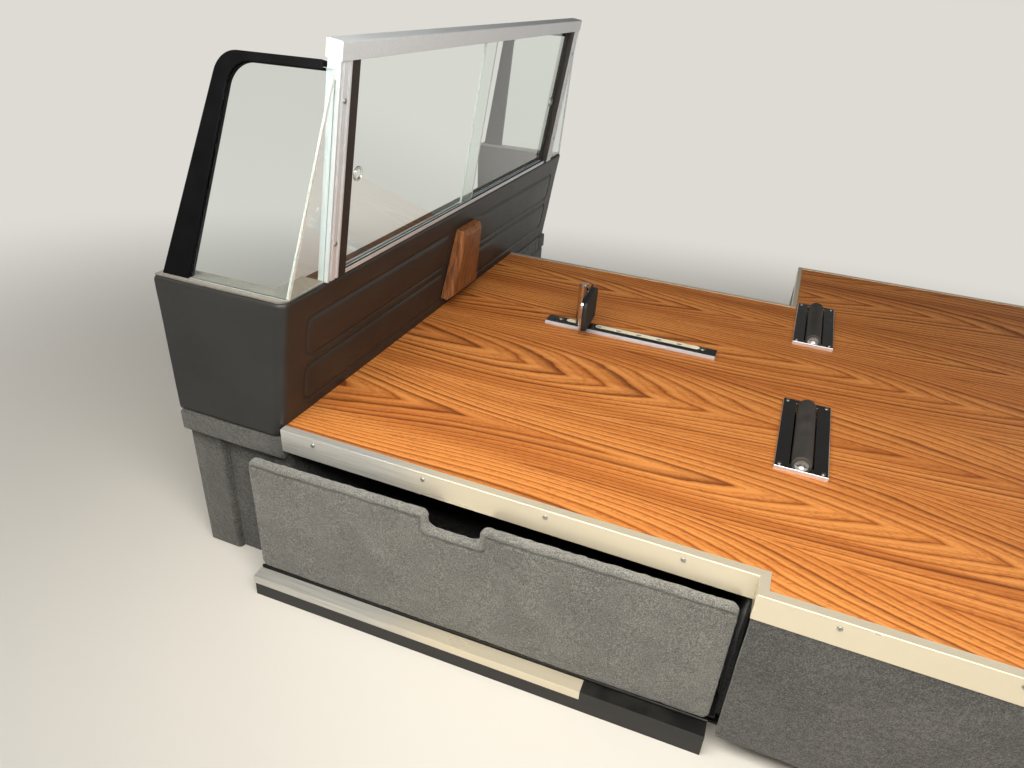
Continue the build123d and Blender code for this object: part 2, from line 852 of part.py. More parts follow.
with BuildPart() as glass_run:
    with BuildSketch(wall_plane):
        rectangle(run_start, glass_start, frame_low, frame_high)
    extrude(amount=-track_depth)
    cut_slots(glass_start - glass_bite - glass_clearance, glass_start, frame_low, frame_high)
    split(bisect_by=wall_top_plane, keep=Keep.TOP)
save_pair(glass_run.part, "glass_runs")

far_glass_start = 2 * centre_line - glass_start
with BuildPart() as track:
    track_top = up(wall_height) + track_height
    with BuildSketch(wall_plane):
        rectangle(glass_start, far_glass_start, frame_low, track_top)
    extrude(amount=-track_depth)
    cut_slots(glass_start, far_glass_start, track_top - glass_bite - glass_clearance, track_top)
    split(bisect_by=wall_top_plane, keep=Keep.TOP)
save(track.part, "glass_track")

with BuildPart() as header:
    with BuildSketch(wall_plane.offset(header_proud)):
        rectangle(post_start, 2 * centre_line - post_start, frame_high, frame_high + header_height)
    extrude(amount=-header_depth)
    slot_top = frame_high + glass_bite + glass_clearance
    cut_slots(glass_start - glass_bite, far_glass_start + glass_bite, frame_high, slot_top)
    lower_line, upper_line = header.edges().filter_by(Axis.Y).group_by(Axis.Z)[-2:]
    fillet(lower_line + upper_line, header_round)
save(header.part, "header_rail")

# Sliding panes, which overlap at the centre: side, depth and the two ends
pane_rows = (
    ("near", pane_depths[0], glass_start - glass_bite, centre_line + pane_overlap / 2),
    ("far", pane_depths[1], centre_line - pane_overlap / 2, far_glass_start + glass_bite),
)
for side, depth, start, end in pane_rows:
    with BuildPart() as pane:
        with BuildSketch(wall_plane.offset(-depth)):
            rectangle(start, end, track_top - glass_bite, frame_high + glass_bite)
        extrude(amount=-glass_thickness)
    save(pane.part, f"{side}_sliding_pane")

with BuildPart() as pulls:
    for depth, y in (
        (pane_depths[0], glass_start + pull_inset),
        (pane_depths[1], far_glass_start - pull_inset),
    ):
        with BuildSketch(wall_plane.offset(-depth)):
            with Locations((y, up(pull_height))):
                Circle(pull_radius)
                Circle(pull_radius - pull_rim, mode=Mode.SUBTRACT)
        extrude(amount=pull_proud)
save(pulls.part, "finger_pulls")

# Filler pane between the post and the side glass, tapered by the side's lean
with BuildPart() as filler:
    with BuildSketch(wall_plane.offset(-near_pane_depth)):
        start = side_start + glass_thickness * tumble_length + glass_clearance
        start += tumble_slope * (near_pane_depth + glass_thickness) * sin(lean)
        low = wall_height - post_depth
        outline([
            (start + tumble_slope * (low - wall_height), up(low)),
            (post_start - glass_clearance, up(low)),
            (post_start - glass_clearance, up(filler_top)),
            (start + tumble_slope * (filler_top - wall_height), up(filler_top)),
        ])
    extrude(amount=-glass_thickness)
    split(bisect_by=ledge_top_plane, keep=Keep.TOP)
save_pair(filler.part, "filler_panes")


def side_opening(grow):
    """Face of the side opening, grown forward and upward into the dark frame."""
    low, high = wall_height - post_depth, side_top
    with BuildSketch(side_plane) as opening:
        outline([
            (jamb_rear_bottom - grow, side_up(low)),
            (lean_x(low) - side_glass_gap, side_up(low)),
            (lean_x(high) - side_glass_gap, side_up(high) + grow),
            (jamb_rear_top - grow, side_up(high) + grow),
        ])
        fillet(opening.vertices().sort_by(Axis.Y)[-2:].sort_by(Axis.X)[0], jamb_corner + grow)
    return opening.sketch


with BuildPart() as side_pane:
    extrude(side_opening(glass_bite), amount=-glass_thickness)
    split(bisect_by=ledge_top_plane, keep=Keep.TOP)
save(side_pane.part, "near_side_pane")
save_far(side_pane.part, "far_side_pane")

with BuildPart() as jamb:
    with BuildSketch(side_plane.offset(jamb_proud)) as jamb_face:
        low, frame_top = wall_height - post_depth, side_up(side_frame_top)
        rail_end = lean_x(side_top) - post_depth
        outline([
            (jamb_front_bottom, side_up(low)),
            (jamb_rear_bottom, side_up(low)),
            (jamb_rear_top, side_up(side_top)),
            (rail_end, side_up(side_top)),
            (rail_end, frame_top),
            (jamb_front_top, frame_top),
        ])
        for corner in ((jamb_rear_top, side_up(side_top)), (jamb_front_top, frame_top)):
            fillet(jamb_face.vertices().sort_by_distance(corner)[0], jamb_corner)
    extrude(amount=-jamb_thickness)
    slot_face = side_opening(glass_bite + glass_clearance)
    extrude(slot_face, amount=-glass_thickness - glass_clearance, mode=Mode.SUBTRACT)
    extrude(slot_face, amount=glass_clearance, mode=Mode.SUBTRACT)
    split(bisect_by=deck_plane.offset(wall_height + ledge_thickness), keep=Keep.TOP)
save(jamb.part, "near_side_jamb")
save_far(jamb.part, "far_side_jamb")

# Wood bumper block with bevelled edges
with BuildPart() as block:
    with BuildSketch(wall_plane):
        outline([
            (centre_line - block_bottom_half, up(block_bottom)),
            (centre_line + block_bottom_half, up(block_bottom)),
            (centre_line + block_top_half, up(block_top)),
            (centre_line - block_top_half, up(block_top)),
        ])
    extrude(amount=block_thickness)
    chamfer(block.faces().sort_by(Axis((0, 0, 0), wall_plane.z_dir))[-1].edges(), block_bevel)
save(block.part, "bumper_block")
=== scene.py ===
"""Looks of a funeral car's casket deck and driver's partition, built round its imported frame.

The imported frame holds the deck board, its metal edges, the bier plates and pins, the rollers, the steel
sub-frame, the carpeted storage well and the upholstered wall with its glass. Here each piece gets its finish,
the upholstery and the carpet are modelled as soft surfaces in place of their plain solids, and the small
fasteners are added. Lengths in the classes are millimetres in deck coordinates: X rearward, Y from the near
side to the far side and Z up, from the near front corner of the deck's top.
"""

from __future__ import annotations

import json
import logging
import math
from contextlib import contextmanager
from dataclasses import dataclass, field
from enum import Enum
from typing import Callable, Iterator, Sequence

import bmesh
import bpy
from mathutils import Matrix, Vector, noise

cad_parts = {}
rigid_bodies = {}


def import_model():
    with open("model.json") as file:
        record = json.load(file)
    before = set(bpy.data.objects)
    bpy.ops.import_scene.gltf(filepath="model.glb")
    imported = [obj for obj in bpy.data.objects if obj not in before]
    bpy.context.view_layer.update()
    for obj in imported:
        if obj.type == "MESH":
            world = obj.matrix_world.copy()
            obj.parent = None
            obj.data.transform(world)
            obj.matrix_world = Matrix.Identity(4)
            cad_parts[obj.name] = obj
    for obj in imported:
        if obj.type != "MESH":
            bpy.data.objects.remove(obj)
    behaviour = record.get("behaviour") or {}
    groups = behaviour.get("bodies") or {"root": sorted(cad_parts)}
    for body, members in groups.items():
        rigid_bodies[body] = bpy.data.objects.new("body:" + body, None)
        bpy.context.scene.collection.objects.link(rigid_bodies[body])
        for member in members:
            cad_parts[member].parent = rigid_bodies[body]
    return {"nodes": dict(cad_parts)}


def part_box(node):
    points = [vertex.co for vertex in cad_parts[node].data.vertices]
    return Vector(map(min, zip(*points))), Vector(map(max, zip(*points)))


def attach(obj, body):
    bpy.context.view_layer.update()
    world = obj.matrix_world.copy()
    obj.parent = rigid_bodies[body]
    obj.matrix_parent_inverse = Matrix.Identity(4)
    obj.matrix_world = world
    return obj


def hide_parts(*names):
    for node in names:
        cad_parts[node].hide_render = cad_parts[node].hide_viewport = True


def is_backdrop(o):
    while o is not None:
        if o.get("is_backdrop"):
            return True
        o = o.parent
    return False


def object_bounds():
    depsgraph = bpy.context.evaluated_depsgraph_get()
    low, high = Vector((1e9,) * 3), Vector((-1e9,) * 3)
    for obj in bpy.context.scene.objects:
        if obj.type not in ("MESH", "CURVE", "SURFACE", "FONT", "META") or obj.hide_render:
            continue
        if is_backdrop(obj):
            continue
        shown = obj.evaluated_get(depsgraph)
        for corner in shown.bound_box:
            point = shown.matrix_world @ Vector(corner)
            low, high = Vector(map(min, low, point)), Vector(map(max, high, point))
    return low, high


LOG = logging.getLogger("casket_deck")
MM = 0.001

# Attributes of the kick panel's mesh that its carpet reads: a painted highlight on the turned edge and a
# painted shadow in the crease beside it.
EDGE_HIGHLIGHT = "painted_edge_highlight"
CREASE_SHADOW = "painted_crease_shadow"

Point = tuple[float, float, float]
Stops = Sequence[tuple[float, str]]


class Body(str, Enum):
    """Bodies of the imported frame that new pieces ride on."""

    DECK = "deck_unit"
    KICK_PANEL = "kick_panel"
    FRONT_PIN = "front_bier_pin"
    REAR_PIN = "rear_bier_pin"


class Slot(str, Enum):
    """Material slots of the record."""

    LAMINATE = "woodgrain_laminate"
    OAK = "oiled_oak"
    STAINLESS = "brushed_stainless"
    CHROME = "chrome_plate"
    INLAY = "ivory_inlay"
    BLACK_RUBBER = "black_rubber"
    GREY_RUBBER = "grey_rubber"
    BLACK_STEEL = "black_steel"
    PLAIN_STEEL = "plain_steel"
    CARPET = "grey_carpet"
    DARK_CARPET = "dark_carpet"
    CORE = "core_board"
    VINYL = "charcoal_vinyl"
    FELT = "grey_felt"
    ALUMINIUM = "anodised_aluminium"
    SEAL = "black_seal"
    TRIM = "black_trim"
    GLASS = "clear_glass"
    PULL = "clear_pull"


def linear(colour: str) -> tuple[float, float, float, float]:
    """Turn an sRGB hex colour into linear RGBA.

    Args:
        colour: Six hex digits after a hash sign.

    Returns:
        The linear red, green, blue and an alpha of one.
    """
    shares = [int(colour[i : i + 2], 16) / 255 for i in (1, 3, 5)]
    red, green, blue = (s / 12.92 if s <= 0.04045 else ((s + 0.055) / 1.055) ** 2.4 for s in shares)
    return red, green, blue, 1.0


class NodeTree:
    """Shader nodes of a material or of the world."""

    def __init__(self, tree: bpy.types.NodeTree) -> None:
        """Take over a tree and empty it.

        Args:
            tree: The tree of a material or a world.
        """
        self.tree = tree
        self.tree.nodes.clear()

    def add(
        self, kind: str, sockets: dict | Sequence = (), stops: Stops = (),
        size: Sequence[float] = (), **settings
    ) -> bpy.types.Node:
        """Add one node with its settings and links.

        Args:
            kind: The node's type, without its ShaderNode prefix.
            sockets: What feeds each input, by its name or number, or a sequence in the inputs' order.
            stops: Places and hex colours of a colour ramp.
            size: A pattern's size along each axis, in millimetres. Its own scale is then one.
            **settings: Attributes of the node.

        Returns:
            The new node.
        """
        node = self.tree.nodes.new("ShaderNode" + kind)
        for name, value in settings.items():
            setattr(node, name, value)
        for index, (place, colour) in enumerate(stops):
            elements = node.color_ramp.elements
            element = elements[index] if index < len(elements) else elements.new(place)
            element.position, element.color = place, linear(colour)
        if size:
            self.feed(node, {"Vector": self.mapped(size), "Scale": 1.0})
        self.feed(node, sockets if isinstance(sockets, dict) else dict(enumerate(sockets)))
        return node

    def feed(self, node: bpy.types.Node, sockets: dict) -> None:
        """Fill a node's inputs.

        Args:
            node: The node to feed.
            sockets: A value, an output or a node, which gives its first output in use, for each input.
        """
        for name, value in sockets.items():
            if isinstance(value, bpy.types.Node):
                value = next(output for output in value.outputs if output.enabled)
            if isinstance(value, bpy.types.NodeSocket):
                self.tree.links.new(value, node.inputs[name])
            else:
                node.inputs[name].default_value = value

    def mapped(self, size: Point) -> bpy.types.Node:
        """Give Object coordinates in units of a pattern's size along each axis, in millimetres."""
        place = self.add("TexCoord").outputs["Object"]
        return self.add("Mapping", {"Vector": place, "Scale": [1000 / length for length in size]})

    def backdrop_seen(self) -> bpy.types.Node:
        """Tell looks at a surface from the light that it gives.

        Returns:
            The node that gives 1 where the camera, a reflection or clear glass looks at this surface.
        """
        path = self.add("LightPath").outputs
        seen = self.add("Math", (path["Is Camera Ray"], path["Is Glossy Ray"]), operation="ADD")
        return self.add("Math", (seen, path["Is Transmission Ray"]), operation="ADD", use_clamp=True)


class Shader(NodeTree):
    """Node tree of one material, with its Principled shader joined to the output."""

    def __init__(self, name: str) -> None:
        """Make an empty material.

        Args:
            name: The material's name.
        """
        self.material = bpy.data.materials.new(name)
        self.material.use_nodes = True
        super().__init__(self.material.node_tree)
        self.output = self.add("OutputMaterial")
        self.surface = self.add("BsdfPrincipled")
        self.feed(self.output, {0: self.surface})


@dataclass(frozen=True)
class Finish:
    """One finish, which is built as a material of the same name."""

    name: str

    def build(self) -> bpy.types.Material:
        """Build the material.

        Returns:
            The material, ready for a piece's slots.
        """
        shader = Shader(self.name)
        self.dress(shader)
        return shader.material

    def dress(self, shader: Shader) -> None:
        """Add the finish's nodes. Each finish has its own.

        Args:
            shader: The material's nodes.
        """
        raise NotImplementedError(self.name)


@dataclass(frozen=True)
class WoodgrainLaminate(Finish):
    """High-pressure laminate printed as red oak, on plywood: flat-sawn figures in a satin melamine skin.

    Each printed leaf has its heart in its middle. Far from the heart the rings lie along the board, and
    over it they close in long arches whose tips point to the rear. Sizes are in metres, apart from the ring
    gap and the sizes of the noises, which are in millimetres.
    """

    deck_top: float = 0.36
    skin: float = 0.0008
    ring_gap: float = 10.0
    leaf: float = 0.1325
    heart_shift: float = 0.092
    heart_drift: float = 0.3
    arch_depth: float = 0.12
    arch_slope: float = 0.07
    arch_start: float = 1.3
    arch_drift: float = 0.06
    arch_point: float = 0.25
    drift_size: Point = (1300, 360, 1000)
    bulge_size: Point = (900, 300, 1000)
    # How many rings each noise shifts the figure by, its size and its detail: crowding, ripples and wobble.
    shifts: tuple = ((1.2, (2100, 62, 1000), 1.5), (0.35, (300, 34, 1000), 2.0), (0.14, (34, 8, 1000), 1.0))

    def rings(self, shader: Shader, x: bpy.types.NodeSocket, y: bpy.types.NodeSocket) -> bpy.types.Node:
        """Count the year rings out from the nearest heart.

        Args:
            shader: The material's nodes.
            x: Place along the board.
            y: Place across the board.

        Returns:
            The node that gives the count, of which the whole part is the year.
        """
        drift, bulge = (
            shader.add("TexNoise", {"Detail": 1.0, "Roughness": 0.4}, size=size)
            for size in (self.drift_size, self.bulge_size)
        )
        across = shader.add("Math", (drift, self.heart_drift, y), operation="MULTIPLY_ADD")
        across = shader.add("Math", (across, self.heart_shift), operation="ADD")
        aside = shader.add("Math", (across, self.leaf), operation="PINGPONG")
        start = self.arch_depth + self.arch_slope * self.arch_start
        along = shader.add("Math", (x, self.arch_slope, start), operation="MULTIPLY_ADD")
        depth = shader.add("Math", (bulge, self.arch_drift, along), operation="MULTIPLY_ADD")
        reach = shader.add("VectorMath", (shader.add("CombineXYZ", (aside, depth)),), operation="LENGTH")
        pointed = shader.add("Math", (aside, self.arch_point, reach), operation="MULTIPLY_ADD")
        rings = shader.add("Math", (pointed, 1000 / self.ring_gap), operation="MULTIPLY")
        for amount, size, detail in self.shifts:
            shift = shader.add("TexNoise", {"Detail": detail, "Roughness": 0.5}, size=size)
            rings = shader.add("Math", (shift, amount, rings), operation="MULTIPLY_ADD")
        return rings

    def dress(self, shader: Shader) -> None:
        """Add the print's rings, pores and tones, and the ply layers of the cut edges."""
        place = shader.add("SeparateXYZ", (shader.add("TexCoord").outputs["Object"],)).outputs
        rings = self.rings(shader, place["X"], place["Y"])
        year = shader.add("Math", (rings,), operation="FLOOR")
        share = shader.add("Math", (rings,), operation="FRACT")
        fine = shader.add("Math", (rings, 2.0), operation="MULTIPLY")
        fine_share = shader.add("Math", (fine,), operation="FRACT")
        # Light early wood darkens slowly and ends in a thin dark late line.
        wood = shader.add("ValToRGB", (share,), stops=(
            (0.0, "#bb753c"), (0.08, "#cd8747"), (0.3, "#da9655"), (0.65, "#d38d4c"), (0.86, "#c37b40"),
            (0.97, "#a3602f"),
        ))
        lines = shader.add("ValToRGB", (fine_share,), stops=(
            (0.0, "#d6c2b0"), (0.35, "#ffffff"), (0.78, "#f3e8de"), (0.95, "#d6c2b0"),
        ))
        lined = shader.add("Mix", {0: 0.6, 6: wood, 7: lines}, data_type="RGBA", blend_type="MULTIPLY")
        # In about one ring of four the late wood is strong, and prints as the dark lines of the figure.
        hue = shader.add("TexWhiteNoise", {"W": year}, noise_dimensions="1D")
        strong = shader.add("MapRange", (hue, 0.5, 0.8, 0.0, 0.84))
        late = shader.add("MapRange", (share, 0.5, 0.96, 0.0, 1.0))
        heavy = shader.add("Math", (strong, late), operation="MULTIPLY")
        figure = shader.add("Mix", {0: heavy, 6: lined, 7: linear("#743f20")}, data_type="RGBA")
        tone = shader.add("TexNoise", {"Detail": 3.0}, size=(1100, 44, 1000))
        tones = shader.add("ValToRGB", (tone,), stops=(
            (0.32, "#c19b7b"), (0.44, "#e4cfba"), (0.56, "#fbf6ef"), (0.75, "#fff4e2"),
        ))
        toned = shader.add("Mix", {0: 0.6, 6: figure, 7: tones}, data_type="RGBA", blend_type="MULTIPLY")
        # Pores print as short dark dashes, 9 mm long and 1.6 mm wide, thickest beside the late lines.
        dashes = shader.add("TexNoise", {"Detail": 1.0}, size=(9, 1.6, 1000))
        crowd = shader.add("MapRange", (share, 0.4, 0.95, 0.0, 0.16))
        porous = shader.add("Math", (dashes, crowd), operation="ADD")
        pores = shader.add("MapRange", (porous, 0.6, 0.72, 0.0, 0.4))
        top = shader.add("Mix", {0: pores, 6: toned, 7: linear("#6b3a1b")}, data_type="RGBA")
        ply = shader.add("TexWave", {
            "Scale": 0.5, "Distortion": 0.6, "Detail": 1.0,
        }, size=(1000, 1000, 9), bands_direction="Z")
        layers = shader.add("ValToRGB", (ply,), stops=((0.2, "#8f6a45"), (0.8, "#c9a678")))
        skin = shader.add("Math", (place["Z"], self.deck_top - self.skin), operation="GREATER_THAN")
        shader.feed(shader.surface, {
            "Base Color": shader.add("Mix", {0: skin, 6: layers, 7: top}, data_type="RGBA"),
            "Roughness": shader.add("MapRange", (pores, 0.0, 0.6, 0.46, 0.54)),
            "Specular IOR Level": 0.15,
            "Normal": shader.add("Bump", {"Strength": 0.08, "Distance": 0.0004, "Height": dashes}),
        })


@dataclass(frozen=True)
class OiledOak(Finish):
    """Solid red oak, planed and oiled: straight grain up the block, open pores and a low sheen."""

    def dress(self, shader: Shader) -> None:
        """Add the grain, its pores and the tone from face to face."""
        grain = shader.add("TexNoise", {
            "Detail": 4.0, "Roughness": 0.62, "Distortion": 0.4,
        }, size=(7, 6, 130))
        wood = shader.add("ValToRGB", (grain,), stops=(
            (0.3, "#4c2d19"), (0.45, "#724627"), (0.58, "#8d5b33"), (0.75, "#a67141"),
        ))
        pores = shader.add("TexNoise", {"Detail": 1.0}, size=(1.2, 1.2, 14))
        dark = shader.add("MapRange", (pores, 0.58, 0.68, 0.0, 0.55))
        shader.feed(shader.surface, {
            "Base Color": shader.add("Mix", {0: dark, 6: wood, 7: linear("#43200e")}, data_type="RGBA"),
            "Roughness": 0.42,
            "Normal": shader.add("Bump", {"Strength": 0.25, "Distance": 0.0006, "Height": grain}),
        })


@dataclass(frozen=True)
class BrushedMetal(Finish):
    """Metal with a brushed grain along one axis: fine scratches that spread the highlight across them.

    The 0.1 mm scratches of the real metal are drawn 2.6 mm wide, so that they show.
    """

    colour: str = "#b4b2a9"
    dark: str = "#8d8c84"
    roughness: float = 0.3
    scratch: Point = (110.0, 2.6, 2.6)
    scratch_depth: float = 0.06
    metallic: float = 1.0
    # Painted reflection: a pale tint, standing in for the bright ground that the metal mirrors, fades in
    # between these two places along X, in metres.
    reflection_tint: str = ""
    reflection_from: float = 0.0
    reflection_to: float = 1.0

    def dress(self, shader: Shader) -> None:
        """Add the scratches, smudges and, where it is set, a painted reflection: a pale tint that grows along
        X.
        """
        scratches = shader.add("TexNoise", {"Detail": 3.0, "Roughness": 0.6}, size=self.scratch)
        smudges = shader.add("TexNoise", {"Detail": 1.0}, size=(240, 70, 70))
        colour = shader.add("ValToRGB", (scratches,), stops=((0.3, self.dark), (0.65, self.colour)))
        if self.reflection_tint:
            place = shader.add("SeparateXYZ", (shader.add("TexCoord").outputs["Object"],))
            share = shader.add(
                "MapRange", (place, self.reflection_from, self.reflection_to), interpolation_type="SMOOTHSTEP"
            )
            colour = shader.add("Mix", {0: share, 6: colour, 7: linear(self.reflection_tint)}, data_type="RGBA")
        low, high = self.roughness - 0.03, self.roughness + 0.04
        shader.feed(shader.surface, {
            "Base Color": colour, "Metallic": self.metallic,
            "Roughness": shader.add("MapRange", (smudges, 0.3, 0.7, low, high)),
            "Normal": shader.add("Bump", {
                "Strength": self.scratch_depth, "Distance": 0.0002, "Height": scratches,
            }),
        })


@dataclass(frozen=True)
class ChromePlate(Finish):
    """Bright chrome on steel: a near mirror, with faint wiping marks and finger smears."""

    colour: str = "#c9c9c9"

    def dress(self, shader: Shader) -> None:
        """Add the smears to the mirror."""
        smears = shader.add("TexNoise", {"Detail": 4.0, "Distortion": 0.8}, size=(26, 14, 14))
        shader.feed(shader.surface, {
            "Base Color": linear(self.colour), "Metallic": 1.0,
            "Roughness": shader.add("MapRange", (smears, 0.35, 0.75, 0.05, 0.2)),
        })


@dataclass(frozen=True)
class MouldedPolymer(Finish):
    """Moulded plastic or rubber: a fine tool grain and a little dust in its tone."""

    colour: str = "#1c1b1a"
    worn: str = "#33312e"
    roughness: float = 0.55
    grain: Point = (0.9, 0.9, 0.9)
    depth: float = 0.15
    shine: float = 0.5

    def dress(self, shader: Shader) -> None:
        """Add the grain and the worn tone."""
        wear = shader.add("TexNoise", {"Detail": 5.0}, size=(35, 35, 35))
        grain = shader.add("TexNoise", {"Detail": 2.0}, size=self.grain)
        shader.feed(shader.surface, {
            "Base Color": shader.add("ValToRGB", (wear,), stops=((0.35, self.colour), (0.8, self.worn))),
            "Roughness": shader.add("MapRange", (wear, 0.3, 0.7, self.roughness, self.roughness + 0.12)),
            "Specular IOR Level": self.shine,
            "Normal": shader.add("Bump", {"Strength": self.depth, "Distance": 0.0004, "Height": grain}),
        })


@dataclass(frozen=True)
class PowderCoat(Finish):
    """Powder-coated steel: satin black with the coat's orange peel and dust on top."""

    def dress(self, shader: Shader) -> None:
        """Add the orange peel and the dust."""
        peel = shader.add("TexNoise", {"Detail": 2.0}, size=(2.2, 2.2, 2.2))
        dust = shader.add("TexNoise", {"Detail": 6.0}, size=(60, 60, 25))
        shader.feed(shader.surface, {
            "Base Color": shader.add("ValToRGB", (dust,), stops=((0.42, "#101010"), (0.85, "#2c2b28"))),
            "Roughness": shader.add("MapRange", (dust, 0.35, 0.75, 0.34, 0.56)),
            "Normal": shader.add("Bump", {"Strength": 0.2, "Distance": 0.0003, "Height": peel}),
        })


@dataclass(frozen=True)
class CutPileCarpet(Finish):
    """Moulded automotive carpet: short cut nylon pile in mixed greys, brushed lighter in soft patches."""

    low: str = "#444441"
    middle: str = "#686864"
    high: str = "#92928c"
    tuft: float = 2.2

    def dress(self, shader: Shader) -> None:
        """Add the tufts, drawn a little coarser than the real 1.5 mm so that they show, and the patches."""
        tufts = shader.add("TexNoise", {"Detail": 3.0, "Roughness": 0.8}, size=(self.tuft,) * 3)
        clumps = shader.add("TexNoise", {"Detail": 3.0}, size=(11, 11, 11))
        patches = shader.add("TexNoise", {"Detail": 2.0, "Distortion": 0.6}, size=(95, 95, 70))
        # The turned edge gets a painted highlight: its pile is drawn paler. The crease beside it gets a
        # painted shadow.
        turned, painted_crease_shade = (
            shader.add("Attribute", attribute_name=name).outputs["Fac"] for name in (EDGE_HIGHLIGHT, CREASE_SHADOW)
        )
        shade = tufts
        for source, amount in ((clumps, 0.1), (patches, 0.14), (turned, 0.05)):
            shade = shader.add("Math", (source, amount, shade), operation="MULTIPLY_ADD")
        tone = shader.add("ValToRGB", (shade,), stops=(
            (0.48, self.low), (0.62, self.middle), (0.76, self.high),
        ))
        fuzz = shader.add("Bump", {"Strength": 0.85, "Distance": 0.0016, "Height": tufts})
        shader.feed(shader.surface, {
            "Base Color": shader.add("Mix", {0: painted_crease_shade, 6: tone, 7: linear(self.low)}, data_type="RGBA"),
            "Roughness": 0.95, "Specular IOR Level": 0.15, "Sheen Weight": 0.35, "Sheen Roughness": 0.5,
            "Normal": shader.add("Bump", {
                "Strength": 0.5, "Distance": 0.004, "Height": clumps, "Normal": fuzz,
            }),
        })


@dataclass(frozen=True)
class CoreBoard(Finish):
    """Bonded trim board, faced in black felt paper on its cabin side."""

    def dress(self, shader: Shader) -> None:
        """Add the paper's fibres."""
        fibres = shader.add("TexNoise", {"Detail": 5.0}, size=(1.6, 5, 5))
        shader.feed(shader.surface, {
            "Base Color": shader.add("ValToRGB", (fibres,), stops=((0.3, "#24211e"), (0.75, "#3b3631"))),
            "Roughness": 0.85,
            "Normal": shader.add("Bump", {"Strength": 0.3, "Distance": 0.0006, "Height": fibres}),
        })


@dataclass(frozen=True)
class CharcoalVinyl(Finish):
    """Upholstery vinyl in charcoal: a calendered leather grain with a soft, slightly uneven sheen."""

    colour: str = "#222221"
    light: str = "#2d2c2b"

    def dress(self, shader: Shader) -> None:
        """Add the pebbled grain, its creases and the uneven sheen."""
        pebbles = shader.add("TexVoronoi", {"Randomness": 0.95}, size=(1.5, 1.5, 1.5), feature="SMOOTH_F1")
        creases = shader.add("TexNoise", {"Detail": 4.0}, size=(5, 5, 5))
        waves = shader.add("TexNoise", {"Detail": 3.0}, size=(160, 160, 90))
        height = shader.add("Math", (creases, 0.5, pebbles), operation="MULTIPLY_ADD")
        shader.feed(shader.surface, {
            "Base Color": shader.add("ValToRGB", (waves,), stops=((0.3, self.colour), (0.75, self.light))),
            "Roughness": shader.add("MapRange", (creases, 0.3, 0.7, 0.36, 0.46)),
            "Specular IOR Level": 0.4,
            "Normal": shader.add("Bump", {"Strength": 0.16, "Distance": 0.0004, "Height": height}),
        })


@dataclass(frozen=True)
class GreyFelt(Finish):
    """Needled felt: short matted fibres in warm grey, with no shine."""

    def dress(self, shader: Shader) -> None:
        """Add the matted fibres."""
        fibres = shader.add("TexNoise", {"Detail": 6.0, "Distortion": 1.2}, size=(2.4, 2.4, 2.4))
        shader.feed(shader.surface, {
            "Base Color": shader.add("ValToRGB", (fibres,), stops=((0.3, "#55524c"), (0.72, "#837d73"))),
            "Roughness": 0.95, "Sheen Weight": 0.3,
            "Normal": shader.add("Bump", {"Strength": 0.6, "Distance": 0.0012, "Height": fibres}),
        })


@dataclass(frozen=True)
class ClearPane(Finish):
    """Clear glass or acrylic: smooth, and faintly green in its depth."""

    tint: str = "#f5faf8"
    index: float = 1.5

    def dress(self, shader: Shader) -> None:
        """Add the tint, and let lamps shine through so that the pane casts only a faint shadow."""
        smears = shader.add("TexNoise", {"Detail": 3.0}, size=(60, 60, 60))
        shader.feed(shader.surface, {
            "Base Color": linear(self.tint), "IOR": self.index, "Transmission Weight": 1.0,
            "Roughness": shader.add("MapRange", (smears, 0.4, 0.8, 0.0, 0.02)),
        })
        lamps = shader.add("BsdfTransparent", {"Color": linear(self.tint)})
        shadow = shader.add("LightPath").outputs["Is Shadow Ray"]
        shader.feed(shader.output, {0: shader.add("MixShader", (shadow, shader.surface, lamps))})


@dataclass(frozen=True)
class GroundEdge(Finish):
    """Ground edge of float glass: the grinding wheel leaves it frosted, so that it glows in any light."""

    def dress(self, shader: Shader) -> None:
        """Add the wheel's fine marks."""
        marks = shader.add("TexNoise", {"Detail": 3.0}, size=(1.5, 1.5, 9))
        shader.feed(shader.surface, {
            "Base Color": shader.add("ValToRGB", (marks,), stops=((0.3, "#c3cbc7"), (0.7, "#e6ebe8"))),
            "Roughness": shader.add("MapRange", (marks, 0.3, 0.7, 0.28, 0.42)), "Metallic": 0.3,
        })


@dataclass(frozen=True)
class StudioFloor(Finish):
    """Seamless paper: pale and matte, and past the object so evenly lit that it glows like a backdrop."""

    colour: str = "#dedbd4"
    half_size: Point = (1700.0, 900.0, 1000.0)
    near: float = 1.0
    far: float = 2.4

    def dress(self, shader: Shader) -> None:
        """Set the paper's faint mottle, and let it turn into an even pale backdrop away from the object."""
        mottle = shader.add("TexNoise", size=(700, 700, 700))
        shader.feed(shader.surface, {
            "Base Color": shader.add("ValToRGB", (mottle,), stops=((0.3, "#dcd9d2"), (0.7, self.colour))),
            "Roughness": 0.9, "Specular IOR Level": 0.1,
        })
        reach = shader.add("VectorMath", (shader.mapped(self.half_size),), operation="LENGTH")
        share = shader.add("MapRange", (reach, self.near, self.far), interpolation_type="SMOOTHSTEP")
        glow = shader.add("Emission", {"Color": linear(self.colour), "Strength": 1.0})
        backdrop = shader.add("Math", (share, shader.backdrop_seen()), operation="MULTIPLY")
        shader.feed(shader.output, {0: shader.add("MixShader", (backdrop, shader.surface, glow))})


